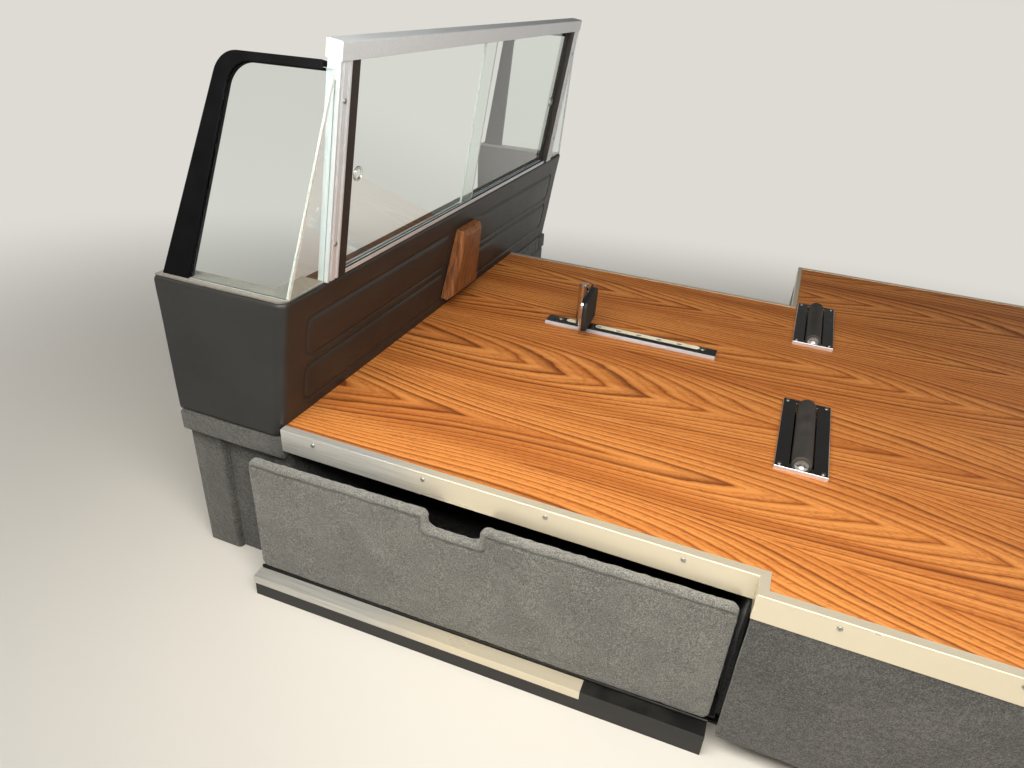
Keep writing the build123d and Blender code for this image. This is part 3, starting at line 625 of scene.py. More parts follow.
FINISHES: dict[Slot, Finish] = {
    Slot.LAMINATE: WoodgrainLaminate("melamine_oak_laminate"),
    Slot.OAK: OiledOak("oiled_red_oak"),
    # The stainless steel's rear part carries the painted reflection of the bright ground.
    Slot.STAINLESS: BrushedMetal(
        "brushed_stainless_steel", colour="#d2d2cd", dark="#bcbcb7", roughness=0.3, scratch_depth=0.03,
        metallic=0.5, reflection_tint="#e6dcc4", reflection_from=-1.13, reflection_to=-0.93
    ),
    Slot.CHROME: ChromePlate("bright_chrome"),
    Slot.INLAY: MouldedPolymer("ivory_acetal", colour="#efe9cf", worn="#ddd6b6", roughness=0.4, depth=0.05),
    Slot.BLACK_RUBBER: MouldedPolymer("black_nitrile_rubber", colour="#171616", worn="#2c2a28"),
    Slot.GREY_RUBBER: MouldedPolymer(
        "grey_roller_rubber", colour="#2e2c2a", worn="#413e3a", roughness=0.6, grain=(12, 0.8, 12), depth=0.4
    ),
    Slot.BLACK_STEEL: PowderCoat("powder_coated_steel"),
    Slot.PLAIN_STEEL: BrushedMetal(
        "zinc_plated_steel", colour="#c6c6c2", dark="#8f8f8c", roughness=0.28, scratch=(4, 4, 4)
    ),
    Slot.CARPET: CutPileCarpet("grey_cut_pile"),
    Slot.DARK_CARPET: CutPileCarpet("dark_cut_pile", low="#101011", middle="#1b1b1c", high="#2d2d2e"),
    Slot.CORE: CoreBoard("felt_faced_board"),
    Slot.VINYL: CharcoalVinyl("charcoal_grained_vinyl"),
    Slot.FELT: GreyFelt("needled_felt"),
    Slot.ALUMINIUM: BrushedMetal(
        "anodised_aluminium", colour="#dfe5ea", dark="#cdd4da", roughness=0.42, scratch=(0.6, 0.6, 80),
        metallic=0.5
    ),
    Slot.SEAL: MouldedPolymer("black_glazing_seal", colour="#191512", worn="#2b2420"),
    Slot.TRIM: MouldedPolymer(
        "black_moulded_abs", colour="#050507", worn="#0a0a0d", roughness=0.4, depth=0.05, shine=0.08
    ),
    Slot.GLASS: ClearPane("clear_float_glass"),
    Slot.PULL: ClearPane("clear_acrylic", tint="#f4f4f0"),
}


class Palette:
    """All finishes, each built once and given out by its slot."""

    def __init__(self) -> None:
        """Build every material, and the second finishes that some pieces or faces of a slot have."""
        self.materials = {slot: finish.build() for slot, finish in FINISHES.items()}
        self.ground_edge = GroundEdge("ground_glass_edge").build()
        # The hinge is darkened so that the gap under the kick panel reads as a shadow line: painted shade.
        self.shadow_hinge_steel = BrushedMetal(
            "painted_shadow_hinge_steel", colour="#3c3b39", dark="#242322", roughness=0.45, metallic=0.8
        ).build()
        # A darker, rougher copy of the plain steel for the caps: the darker colour is painted shade, which
        # dims the lamps' reflection in them.
        self.shaded_cap_steel = BrushedMetal(
            "painted_shade_cap_steel", colour="#8f8d89", dark="#6d6b68", roughness=0.42, scratch=(4, 4, 4),
            metallic=0.8
        ).build()
        # The plates' sides and the cradles' near sides in pale bright metal: a painted highlight on their
        # edges.
        self.highlight_edge = BrushedMetal(
            "painted_highlight_plate_edge", colour="#e8e6ea", dark="#d2d0d4", roughness=0.2, metallic=0.6
        ).build()
        # The boards under the deck's edge get a darker copy of the carpet: painted shade, since they stand in
        # shadow.
        self.shaded_carpet = CutPileCarpet(
            "painted_shade_cut_pile", low="#2b2b29", middle="#474744", high="#6e6e69"
        ).build()

    def dress(
        self, piece: bpy.types.Object, slot: Slot, material: bpy.types.Material | None = None
    ) -> None:
        """Put a slot's material on a piece, in place of what it has.

        Args:
            piece: A mesh object.
            slot: The record's material slot.
            material: Another finish of the same slot, if it isn't the usual one.
        """
        material = material or self.materials[slot]
        if not piece.material_slots:
            piece.data.materials.append(material)
        for holder in piece.material_slots:
            holder.material = material


@dataclass(frozen=True)
class DeckFrame:
    """Deck coordinates in the row frame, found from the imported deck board."""

    origin: Vector
    near_step: float = 40.0
    lean: float = math.radians(8.7)

    @classmethod
    def from_frame(cls) -> DeckFrame:
        """Find the near front corner of the deck's top."""
        low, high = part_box("deck_board")
        return cls(Vector((low.x, low.y + cls.near_step * MM, high.z)))

    def at(self, x: float, y: float, z: float = 0.0) -> Vector:
        """Turn deck coordinates into a place in the row frame.

        Args:
            x: Millimetres rearward.
            y: Millimetres towards the far side.
            z: Millimetres above the deck.

        Returns:
            The place in metres.
        """
        return self.origin + Vector((x, y, z)) * MM

    def lean_x(self, z: float) -> float:
        """Give how far rearward the wall's face stands at a height, in millimetres."""
        return z * math.tan(self.lean)

    def on_wall(self, y: float, height: float, out: float = 0.0) -> Vector:
        """Give the place of a point on the leaning wall.

        Args:
            y: Millimetres towards the far side.
            height: Millimetres above the deck, measured upright.
            out: Millimetres out of the wall's face.

        Returns:
            The place in metres.
        """
        return self.at(
            self.lean_x(height) + out * math.cos(self.lean), y, height - out * math.sin(self.lean)
        )

    @property
    def wall_normal(self) -> Vector:
        """Give the direction out of the wall's face."""
        return Vector((math.cos(self.lean), 0, -math.sin(self.lean)))


def activate(*pieces: bpy.types.Object) -> bpy.types.Object:
    """Select these pieces alone and make the first one active.

    Args:
        *pieces: The pieces to select.

    Returns:
        The first piece.
    """
    bpy.ops.object.select_all(action="DESELECT")
    for piece in pieces:
        piece.select_set(True)
    bpy.context.view_layer.objects.active = pieces[0]
    return pieces[0]


@contextmanager
def edit_mode(piece: bpy.types.Object) -> Iterator[None]:
    """Open a piece in edit mode with nothing selected, and leave edit mode afterwards.

    Args:
        piece: The piece to edit.
    """
    activate(piece)
    bpy.ops.object.mode_set(mode="EDIT")
    bpy.ops.mesh.select_all(action="DESELECT")
    try:
        yield
    finally:
        bpy.ops.object.mode_set(mode="OBJECT")


def pick(kind: str, test: Callable) -> int:
    """Select the elements of the piece in edit mode that pass a test.

    Args:
        kind: VERT, EDGE or FACE.
        test: Takes a bmesh element and says whether it is selected.

    Returns:
        How many are selected.
    """
    bpy.ops.mesh.select_mode(type=kind)
    bpy.ops.mesh.select_all(action="DESELECT")
    mesh = bpy.context.active_object.data
    shape = bmesh.from_edit_mesh(mesh)
    elements = {"VERT": shape.verts, "EDGE": shape.edges, "FACE": shape.faces}[kind]
    chosen = [element for element in elements if test(element)]
    for element in chosen:
        element.select_set(True)
    bmesh.update_edit_mesh(mesh)
    return len(chosen)


def extrude(move: Sequence[float]) -> None:
    """Extrude the selected faces of the piece in edit mode, by this move in metres."""
    bpy.ops.mesh.extrude_region_move(TRANSFORM_OT_translate={"value": move})


def modified(piece: bpy.types.Object, kind: str, **settings) -> bpy.types.Object:
    """Put a modifier on a piece and apply it.

    Args:
        piece: The piece.
        kind: The modifier's type.
        **settings: Attributes of the modifier.

    Returns:
        The piece.
    """
    activate(piece)
    modifier = piece.modifiers.new(kind, kind)
    for name, value in settings.items():
        setattr(modifier, name, value)
    bpy.ops.object.modifier_apply(modifier=modifier.name)
    return piece


def rounded(
    piece: bpy.types.Object, radius: float, angle: float, segments: int, **settings
) -> bpy.types.Object:
    """Round a piece's sharp edges.

    Args:
        piece: The piece.
        radius: Radius of the edges, in millimetres.
        angle: Least angle of an edge that is rounded, in degrees.
        segments: Facets across the round.
        **settings: Other attributes of the Bevel modifier.

    Returns:
        The piece.
    """
    return modified(
        piece, "BEVEL", width=radius * MM, segments=segments, limit_method="ANGLE",
        angle_limit=math.radians(angle), **settings
    )


def smoothed(piece: bpy.types.Object, angle: float = 35.0) -> bpy.types.Object:
    """Shade a piece smooth, except across sharp edges.

    Args:
        piece: The piece.
        angle: Least angle of a sharp edge, in degrees.

    Returns:
        The piece.
    """
    activate(piece)
    bpy.ops.object.shade_smooth_by_angle(angle=math.radians(angle))
    return piece


def new_rod(name: str, start: Vector, end: Vector, radius: float, sides: int = 32) -> bpy.types.Object:
    """Add a round rod from one point to another.

    Args:
        name: The piece's name.
        start: One end, in metres.
        end: The other end, in metres.
        radius: Its radius, in millimetres.
        sides: How many sides it has.

    Returns:
        The piece.
    """
    bpy.ops.object.select_all(action="DESELECT")
    line = end - start
    bpy.ops.mesh.primitive_cylinder_add(vertices=sides, radius=radius * MM, depth=line.length)
    piece = bpy.context.active_object
    piece.name = name
    turn = line.to_track_quat("Z", "Y").to_matrix().to_4x4()
    piece.matrix_world = Matrix.Translation((start + end) / 2) @ turn
    bpy.ops.object.transform_apply(location=True, rotation=True, scale=True)
    return piece


def spread_copies(
    master: bpy.types.Object, name: str, places: Sequence[tuple[Vector, Vector]]
) -> bpy.types.Object:
    """Copy a piece to several places, each with its own mesh, and join the copies. The master goes.

    Args:
        master: A piece at the origin that points along +Z.
        name: The joined piece's name.
        places: Foot and direction of each copy.

    Returns:
        The joined piece.
    """
    copies = []
    for foot, direction in places:
        activate(master)
        bpy.ops.object.duplicate(linked=False)
        copy = bpy.context.active_object
        turn = direction.to_track_quat("Z", "Y").to_matrix().to_4x4()
        copy.matrix_world = Matrix.Translation(foot) @ turn
        bpy.ops.object.transform_apply(location=True, rotation=True, scale=True)
        copies.append(copy)
    bpy.data.objects.remove(master)
    joined = activate(*copies)
    if len(copies) > 1:
        bpy.ops.object.join()
    joined.name = name
    return joined


def sliced(piece: bpy.types.Object, pitch: float, solid: float = math.inf) -> bpy.types.Object:
    """Cut a piece across at regular steps along each axis, so that its faces can bend.

    Args:
        piece: The piece.
        pitch: Distance between cuts, in millimetres.
        solid: How far from its low and high Y the piece reaches, in millimetres, if its middle is empty.

    Returns:
        The piece.
    """
    low, high = box_of(piece)
    with edit_mode(piece):
        for axis in range(3):
            steps = int((high[axis] - low[axis]) / (pitch * MM))
            normal = tuple(float(axis == i) for i in range(3))
            for i in range(1, steps):
                cut = low.copy()
                cut[axis] += (high[axis] - low[axis]) * i / steps
                if axis == 1 and low.y + solid * MM < cut.y < high.y - solid * MM:
                    continue
                bpy.ops.mesh.select_all(action="SELECT")
                bpy.ops.mesh.bisect(plane_co=cut, plane_no=normal)
    return piece


def pushed(piece: bpy.types.Object, amount: Callable[[Vector, Vector], float]) -> bpy.types.Object:
    """Move a piece's points along their normals.

    Args:
        piece: The piece.
        amount: Takes a point's place and normal, and gives how far it moves, in millimetres.

    Returns:
        The piece.
    """
    points = [(vertex, vertex.co.copy(), vertex.normal.copy()) for vertex in piece.data.vertices]
    for vertex, place, normal in points:
        vertex.co = place + normal * (amount(place, normal) * MM)
    piece.data.update()
    return piece


def box_of(piece: bpy.types.Object) -> tuple[Vector, Vector]:
    """Give the lowest and the highest corner of a piece's mesh."""
    return Vector(piece.bound_box[0]), Vector(piece.bound_box[6])


def bell(off: float, width: float) -> float:
    """Give a bell curve's height: 1 at its middle, and near 0 at twice this width off it."""
    return math.exp(-((off / width) ** 2))


def lumps(place: Vector, size: float) -> float:
    """Give a soft noise, from about -1 to 1, whose lumps have this size in millimetres."""
    return noise.noise(place / (size * MM))


@dataclass(frozen=True)
class ScrewHead:
    """Raised screw head with a cross recess, in millimetres and shares of its radius or height."""

    name: str
    radius: float
    height: float
    sides: int = 24
    arms: int = 4
    sunk: float = 0.4
    dome_share: float = 0.55
    rim_share: float = 0.2
    waist_share: float = 0.36
    recess_share: float = 0.6

    def build(self) -> bpy.types.Object:
        """Model the head at the origin, pointing up.

        Returns:
            The screw head.
        """
        bottom, top = Vector((0, 0, -self.sunk * MM)), Vector((0, 0, self.height * MM))
        head = new_rod(self.name, bottom, top, self.radius, self.sides)
        with edit_mode(head):
            pick("FACE", lambda face: face.normal.z > 0.9)
            bpy.ops.mesh.bevel(offset=self.height * self.dome_share * MM, segments=3, affect="EDGES")
            pick("FACE", lambda face: face.normal.z > 0.999)
            bpy.ops.mesh.inset(thickness=self.radius * self.rim_share * MM)
            # The inset face becomes a cross: only the points on its arms keep their place.
            shape = bmesh.from_edit_mesh(head.data)
            for face in [face for face in shape.faces if face.select]:
                for vertex in face.verts:
                    on_arm = abs(math.cos(math.atan2(vertex.co.y, vertex.co.x) * self.arms / 2)) > 0.95
                    vertex.co.xy = vertex.co.xy * (1.0 if on_arm else self.waist_share)
            bmesh.update_edit_mesh(head.data)
            extrude((0, 0, -self.height * self.recess_share * MM))
        return smoothed(head, 30)


class Workshop:
    """What every sub-assembly works with: the frame's nodes, its deck coordinates and the finishes."""

    def __init__(self) -> None:
        """Load the frame, put each CAD node's finish on it and keep the CAD box."""
        self.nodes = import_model()["nodes"]
        self.cad_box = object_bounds()
        self.deck = DeckFrame.from_frame()
        self.palette = Palette()
        for node in self.nodes.values():
            self.palette.dress(node, Slot(node.data.materials[0].name))

    def slot_of(self, node: str) -> Slot:
        """Give the material slot that the record names for a node."""
        words = self.nodes[node].data.materials[0]
        return next(slot for slot, material in self.palette.materials.items() if material == words)

    def place(
        self, piece: bpy.types.Object, slot: Slot, body: str = Body.DECK.value, nodes: Sequence[str] = ()
    ) -> bpy.types.Object:
        """Dress a finished piece, hang it on the body that it rides on, and hide the CAD nodes that it stands
        for.

        Args:
            piece: The piece.
            slot: Its material slot.
            body: The CAD body that it rides on.
            nodes: The CAD nodes that it stands for.

        Returns:
            The piece.
        """
        self.palette.dress(piece, slot)
        if nodes:
            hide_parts(*nodes)
        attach(piece, body)
        LOG.info("%s: %d faces, on %s", piece.name, len(piece.data.polygons), body)
        return piece

    def drive(
        self, screw: bpy.types.Object, name: str, places: Sequence[tuple[Vector, Vector]]
    ) -> None:
        """Drive copies of a screw into the deck unit.

        Args:
            screw: A screw at the origin that points along +Z.
            name: The name of all the screws as one piece.
            places: Foot and direction of each screw.
        """
        self.place(spread_copies(screw, name, places), Slot.PLAIN_STEEL)

    def faced(
        self, piece: bpy.types.Object, material: bpy.types.Material,
        test: Callable[[bpy.types.MeshPolygon], bool],
    ) -> None:
        """Give a placed piece's faces that pass a test another finish.

        Args:
            piece: The piece.
            material: The finish.
            test: Takes a face and says whether it has the finish.
        """
        piece.data.materials.append(material)
        for face in piece.data.polygons:
            if test(face):
                face.material_index = len(piece.data.materials) - 1

    def merged_copy(self, node: str, name: str) -> bpy.types.Object:
        """Copy a CAD node's mesh and merge its loose triangles into plain faces.

        Args:
            node: The node.
            name: The copy's name.

        Returns:
            The copy.
        """
        piece = bpy.data.objects.new(name, self.nodes[node].data.copy())
        piece.data.materials.clear()
        bpy.context.scene.collection.objects.link(piece)
        with edit_mode(piece):
            bpy.ops.mesh.customdata_custom_splitnormals_clear()
            bpy.ops.mesh.select_all(action="SELECT")
            bpy.ops.mesh.remove_doubles(threshold=0.00002)
            bpy.ops.mesh.dissolve_limited(angle_limit=math.radians(0.5))
        return piece

    def softened(
        self, node: str, radius: float, angle: float = 35.0, segments: int = 2, body: str = Body.DECK.value
    ) -> bpy.types.Object:
        """Stand in for a node with a copy whose sharp edges are rounded, as folded or moulded ones are.

        Args:
            node: The node.
            radius: Radius of the edges, in millimetres.
            angle: Least angle of an edge that is rounded, in degrees.
            segments: Facets across the round.
            body: The CAD body that it rides on.

        Returns:
            The rounded piece.
        """
        slot = self.slot_of(node)
        piece = self.merged_copy(node, f"{node}_rounded")
        if radius:
            rounded(piece, radius, angle, segments, miter_outer="MITER_ARC")
        modified(smoothed(piece), "WEIGHTED_NORMAL", keep_sharp=True)
        return self.place(piece, slot, body, [node])


@dataclass
class SubAssembly:
    """One sub-assembly of the part."""

    shop: Workshop

    def build(self) -> None:
        """Build and dress the sub-assembly's pieces."""
        raise NotImplementedError


@dataclass
class Deck(SubAssembly):
    """Load floor with its folded metal edges and their screws."""

    deck_length: float = 2850.0
    near_step_x: float = 845.0
    far_edge: float = 1440.0
    screw: ScrewHead = ScrewHead("moulding_screw", 4.2, 2.0)
    screw_start: float = 70.0
    screw_pitch: float = 221.5
    screw_drop: float = 12.0
    end_margin: float = 60.0
    trim_thickness: float = 2.0
    threshold_screws: int = 6
    threshold_inset: float = 34.0
    threshold_thickness: float = 1.5

    def build(self) -> None:
        """Stand in for the edges with smooth-shaded copies, whose folds keep the frame's own rounds, and
        drive their screws.
        """
        for node in ("near_edge_moulding", "far_edge_trim", "rear_threshold_plate"):
            self.shop.softened(node, 0.0)
        self.build_screws()

    def build_screws(self) -> None:
        """Drive the screws along the near moulding, the far trim and the threshold plate."""
        deck = self.shop.deck
        places = []
        x = self.screw_start
        while x < self.deck_length - self.end_margin:
            wide = x > self.near_step_x
            near = -self.trim_thickness - (deck.near_step if wide else 0.0)
            places.append((deck.at(x, near, -self.screw_drop), Vector((0, -1, 0))))
            if wide:
                far = self.far_edge + self.trim_thickness
                places.append((deck.at(x, far, -self.screw_drop), Vector((0, 1, 0))))
            x += self.screw_pitch
        first, last = self.end_margin - deck.near_step, self.far_edge - self.end_margin
        for i in range(self.threshold_screws):
            y = first + i * (last - first) / (self.threshold_screws - 1)
            foot = deck.at(self.deck_length - self.threshold_inset, y, self.threshold_thickness)
            places.append((foot, Vector((0, 0, 1))))
        self.shop.drive(self.screw.build(), "edge_screws", places)


@dataclass
class BierHardware(SubAssembly):
    """Bier plates with their inlays and screws, and the pins with ribbed rubber faces."""

    screw: ScrewHead = ScrewHead("plate_screw", 4.4, 1.4)
    washer_radius: float = 5.6
    washer_wire: float = 1.3
    plate_starts: tuple[float, float] = (267.0, 2288.0)
    screw_places: tuple[float, float] = (32.0, 380.0)
    hole_row: float = 697.0
    plate_height: float = 8.0
    pad_yaw: float = 4.0
    rib_pitch: float = 5.0
    rib_height: float = 0.8
    rib_edge: float = 0.35
    plain_strips: int = 3
    rim: float = 3.0

    def build(self) -> None:
        """Build the plates' edges and screws, and both pins."""
        for node in ("front_bier_plate", "rear_bier_plate"):
            plate = self.shop.softened(node, 1.5, segments=3)
            # The plates' sides get the painted highlight.
            self.shop.faced(plate, self.shop.palette.highlight_edge, lambda face: abs(face.normal.z) < 0.85)
        places = [
            (self.shop.deck.at(start + x, self.hole_row, self.plate_height), Vector((0, 0, 1)))
            for start in self.plate_starts for x in self.screw_places
        ]
        self.shop.drive(self.ringed_screw(), "bier_plate_screws", places)
        for side, body in (("front", Body.FRONT_PIN), ("rear", Body.REAR_PIN)):
            self.shop.softened(f"{side}_bier_pin", 0.7, body=body.value)
            self.build_pad(side, body)

    def ringed_screw(self) -> bpy.types.Object:
        """Model a countersunk screw in a raised cup washer, at the origin.

        Returns:
            The screw with its washer.
        """
        head = self.screw.build()
        bpy.ops.object.select_all(action="DESELECT")
        bpy.ops.mesh.primitive_torus_add(
            major_radius=self.washer_radius * MM, minor_radius=self.washer_wire * MM,
            major_segments=36, minor_segments=10,
        )
        ring = smoothed(bpy.context.active_object, 60)
        activate(head, ring)
        bpy.ops.object.join()
        return head

    def build_pad(self, side: str, body: Body) -> None:
        """Rib a pin's rubber face from top to bottom.

        Args:
            side: Which pin it is on, front or rear.
            body: The pin's CAD body.
        """
        node = f"{side}_bier_rubber"
        facing = 1.0 if side == "front" else -1.0
        yaw = math.radians(self.pad_yaw)
        outward = Vector((facing * math.cos(yaw), math.sin(yaw), 0))
        across = Vector((-facing * math.sin(yaw), math.cos(yaw), 0))
        pad = self.shop.merged_copy(node, f"{node}_ribbed")
        low, high = box_of(pad)
        middle, tall = (low + high) / 2, high.z - low.z
        wide = max(vertex.co.dot(across) for vertex in pad.data.vertices) - middle.dot(across)
        # The rubber is set back from the steel plate's edge all round.
        for vertex in pad.data.vertices:
            off = vertex.co - middle
            aside = off.dot(across) / wide * self.rim * MM
            above = off.z / tall * 2 * self.rim * MM
            vertex.co -= across * aside + Vector((0, 0, above))
        places = [vertex.co.dot(across) for vertex in pad.data.vertices]
        start, end = min(places), max(places)
        count = int((end - start) / (self.rib_pitch / 2 * MM))
        with edit_mode(pad):
            for i in range(1, count):
                bpy.ops.mesh.select_all(action="SELECT")
                place = across * (start + (end - start) * i / count)
                bpy.ops.mesh.bisect(plane_co=place, plane_no=across)

            def is_rib(face: bmesh.types.BMFace) -> bool:
                """Say whether a face is every second strip of the outer face."""
                share = (face.calc_center_median().dot(across) - start) / (end - start)
                strip = int(share * count)
                inside = self.plain_strips <= strip < count - self.plain_strips
                return face.normal.dot(outward) > 0.99 and strip % 2 == 1 and inside

            pick("FACE", is_rib)
            extrude(outward * (self.rib_height * MM))
        rounded(pad, self.rib_edge, 50.0, 2)
        self.shop.place(smoothed(pad), Slot.BLACK_RUBBER, body.value, [node])


@dataclass
class Rollers(SubAssembly):
    """Folded cradle covers with their screws, and the barrels' bright end caps."""

    screw: ScrewHead = ScrewHead("cradle_screw", 3.6, 1.6)
    stations: tuple[float, ...] = (884.5, 1584.5, 2284.5)
    rows: tuple[float, float] = (419.0, 981.0)
    cradle: tuple[float, float] = (93.0, 262.0)
    cradle_height: float = 9.0
    screw_inset: float = 9.0
    barrel_width: float = 226.0
    axis_height: float = 8.0
    cap_radius: float = 12.5
    cap_proud: float = 1.6
    cap_sunk: float = 0.5
    cap_edge: float = 0.8
    # Each ring of the cap: its width, and how far the face inside it is raised.
    cap_rings: tuple[tuple[float, float], ...] = ((4.5, -0.8), (4.0, 0.7))

    def build(self) -> None:
        """Round the cradles' folds, and add screws and end caps."""
        cradles = self.shop.softened("roller_cradles", 0.6, angle=60)
        # The cradles' near-facing sides get the painted highlight.
        self.shop.faced(cradles, self.shop.palette.highlight_edge, lambda face: face.normal.y < -0.6)
        deck = self.shop.deck
        half_x, half_y = (length / 2 - self.screw_inset for length in self.cradle)
        places = [
            (deck.at(x + i * half_x, y + j * half_y, self.cradle_height), Vector((0, 0, 1)))
            for x in self.stations for y in self.rows for i in (-1, 1) for j in (-1, 1)
        ]
        self.shop.drive(self.screw.build(), "cradle_screws", places)
        for index, x in enumerate(self.stations):
            for side, y in zip(("near", "far"), self.rows):
                self.build_caps(f"{side}_roller_{index + 1}", x, y)

    def build_caps(self, node: str, x: float, y: float) -> None:
        """Cap both ends of a barrel with a pressed steel disc.

        Args:
            node: The barrel, which is also its body's name.
            x: The station, in deck coordinates.
            y: The roller's row, in deck coordinates.
        """
        bottom, top = Vector((0, 0, -self.cap_sunk * MM)), Vector((0, 0, self.cap_proud * MM))
        cap = new_rod(f"{node}_cap", bottom, top, self.cap_radius)
        with edit_mode(cap):
            pick("FACE", lambda face: face.normal.z > 0.9)
            bpy.ops.mesh.bevel(offset=self.cap_edge * MM, segments=2, affect="EDGES")
            pick("FACE", lambda face: face.normal.z > 0.999)
            for width, rise in self.cap_rings:
                bpy.ops.mesh.inset(thickness=width * MM)
                extrude((0, 0, rise * MM))
        deck = self.shop.deck
        places = [
            (deck.at(x, y + end * self.barrel_width / 2, self.axis_height), Vector((0, end, 0)))
            for end in (-1, 1)
        ]
        caps = spread_copies(smoothed(cap, 30), f"{node}_end_caps", places)
        self.shop.place(caps, Slot.PLAIN_STEEL, node)
        # The caps take the darker steel, a painted shade.
        self.shop.palette.dress(caps, Slot.PLAIN_STEEL, self.shop.palette.shaded_cap_steel)


@dataclass
class StorageWell(SubAssembly):
    """Carpeted kick panel and boards round the storage well, and the sill under them."""

    kick_height: float = 256.0
    notch_start: float = 362.0
    notch_width: float = 96.0
    notch_depth: float = 34.0
    toe_in: float = math.radians(1.4)
    board_edge: float = 4.0
    lining_edge: float = 1.6
    cut_pitch: float = 30.0
    wrap_wave: float = 0.8
    wrap_size: float = 60.0
    voxel: float = 3.0
    crease_inset: float = 13.0
    crease_depth: float = 3.2
    crease_width: float = 3.0
    crease_sway: float = 1.8
    sway_size: float = 26.0
    # Painted light on the carpet: the shadow in the crease, how dark and how wide, and how far the turned
    # edge's highlight fades.
    crease_shade: float = 0.6
    shade_width: float = 2.2
    highlight_fade: float = 4.0
    # The pile's fine and coarse tufts: how high they stand, on the turned edge and on the flat, and how wide.
    pile_lump: float = 0.9
    fine_tufts: float = 0.6
    turned_tufts: float = 1.5
    flat_tufts: float = 0.4
    tuft_sizes: tuple[float, float] = (5.0, 13.0)
    panel_wave: float = 1.2
    wave_size: float = 160.0
    pile_sink: float = 0.6
    carpeted: tuple[str, ...] = (
        "near_side_board", "far_side_board", "notch_side_board", "notch_rear_board", "front_bulkhead",
        "wall_base_rail", "near_base_rail", "far_base_rail", "lower_cheeks",
    )
    lined: tuple[str, ...] = ("tray_floor", "tray_back_board", "tray_rear_board")

    def build(self) -> None:
        """Build every carpeted piece and round the sill's edges."""
        self.build_kick_panel()
        for nodes, edge in ((self.carpeted, self.board_edge), (self.lined, self.lining_edge)):
            for node in nodes:
                self.build_carpet(node, edge)
        self.shop.softened("sill_plate", 0.6)
        self.shop.softened("sill_rail", 1.0)
        palette = self.shop.palette
        # The hinge takes the darkened steel, a painted shadow line under the kick panel.
        palette.dress(self.shop.nodes["kick_panel_hinge"], Slot.PLAIN_STEEL, palette.shadow_hinge_steel)

    def build_carpet(self, node: str, edge: float) -> None:
        """Wrap a board in carpet: soft edges and a face that is never quite flat.

        Args:
            node: The board.
            edge: Radius of its edges, in millimetres.
        """
        slot = self.shop.slot_of(node)
        piece = sliced(self.shop.merged_copy(node, f"{node}_carpet"), self.cut_pitch)
        rounded(piece, edge, 40.0, 3)
        pushed(piece, lambda place, normal: self.wrap_wave * lumps(place, self.wrap_size))
        self.shop.place(smoothed(piece, 50), slot, nodes=[node])
        # The grey carpet under the deck's edge takes its darker copy, a painted shade.
        if slot == Slot.CARPET:
            self.shop.palette.dress(piece, slot, self.shop.palette.shaded_carpet)

    def inset_at(self, along: float, up: float) -> float:
        """Give how far below the kick panel's top edge a point of its face lies, in millimetres.

        Args:
            along: Millimetres along the panel.
            up: Millimetres up the panel.

        Returns:
            The distance to the top edge, with the hand notch as a part of it.
        """
        edge = self.kick_height - up
        beside = max(self.notch_start - along, 0.0, along - self.notch_start - self.notch_width)
        below = max(self.kick_height - self.notch_depth - up, 0.0)
        return min(edge, math.hypot(beside, below)) if beside or below else 0.0

    def build_kick_panel(self) -> None:
        """Build the kick panel: a board in moulded carpet, with a turned edge and its crease."""
        node = "kick_panel"
        piece = self.shop.merged_copy(node, "kick_panel_carpet")
        piece.data.remesh_voxel_size = self.voxel * MM
        activate(piece)
        bpy.ops.object.voxel_remesh()
        modified(piece, "SMOOTH", factor=0.5, iterations=3)
        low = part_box(node)[0]
        along_axis = Vector((math.cos(self.toe_in), math.sin(self.toe_in), 0))
        front_axis = Vector((math.sin(self.toe_in), -math.cos(self.toe_in), 0))
        start = min(vertex.co.dot(along_axis) for vertex in piece.data.vertices)

        def inset_of(place: Vector) -> float:
            """Give how far below the top edge a point lies, with the crease's uneven run, in millimetres."""
            inset = self.inset_at((place.dot(along_axis) - start) / MM, (place.z - low.z) / MM)
            return inset + self.crease_sway * lumps(place, self.sway_size)

        def pile(place: Vector, normal: Vector) -> float:
            """Give how far the carpet's pile moves a point of the board, in millimetres."""
            inset = inset_of(place)
            facing = max(normal.dot(front_axis), 0.0)
            crease = self.crease_depth * bell(inset - self.crease_inset, self.crease_width)
            fine, coarse = (lumps(place, size) for size in self.tuft_sizes)
            coarse *= self.turned_tufts if inset < self.crease_inset else self.flat_tufts
            wave = self.panel_wave * lumps(place, self.wave_size)
            tufts = self.pile_lump * (self.fine_tufts * fine + coarse)
            return tufts + facing * (wave - crease) - self.pile_sink

        # Painted light: a paler band over the turned edge, and a darker line in the crease on the front face.
        turned = piece.data.attributes.new(EDGE_HIGHLIGHT, "FLOAT", "POINT")
        painted_crease_shade = piece.data.attributes.new(CREASE_SHADOW, "FLOAT", "POINT")
        for vertex, pale, dark in zip(piece.data.vertices, turned.data, painted_crease_shade.data):
            inset = inset_of(vertex.co)
            pale.value = max(0.0, min(1.0, (self.crease_inset + 1 - inset) / self.highlight_fade))
            facing = max(vertex.normal.dot(front_axis), 0.0)
            dark.value = self.crease_shade * facing * bell(inset - self.crease_inset, self.shade_width)
        pushed(piece, pile)
        self.shop.place(smoothed(piece, 80), Slot.CARPET, Body.KICK_PANEL.value, [node])


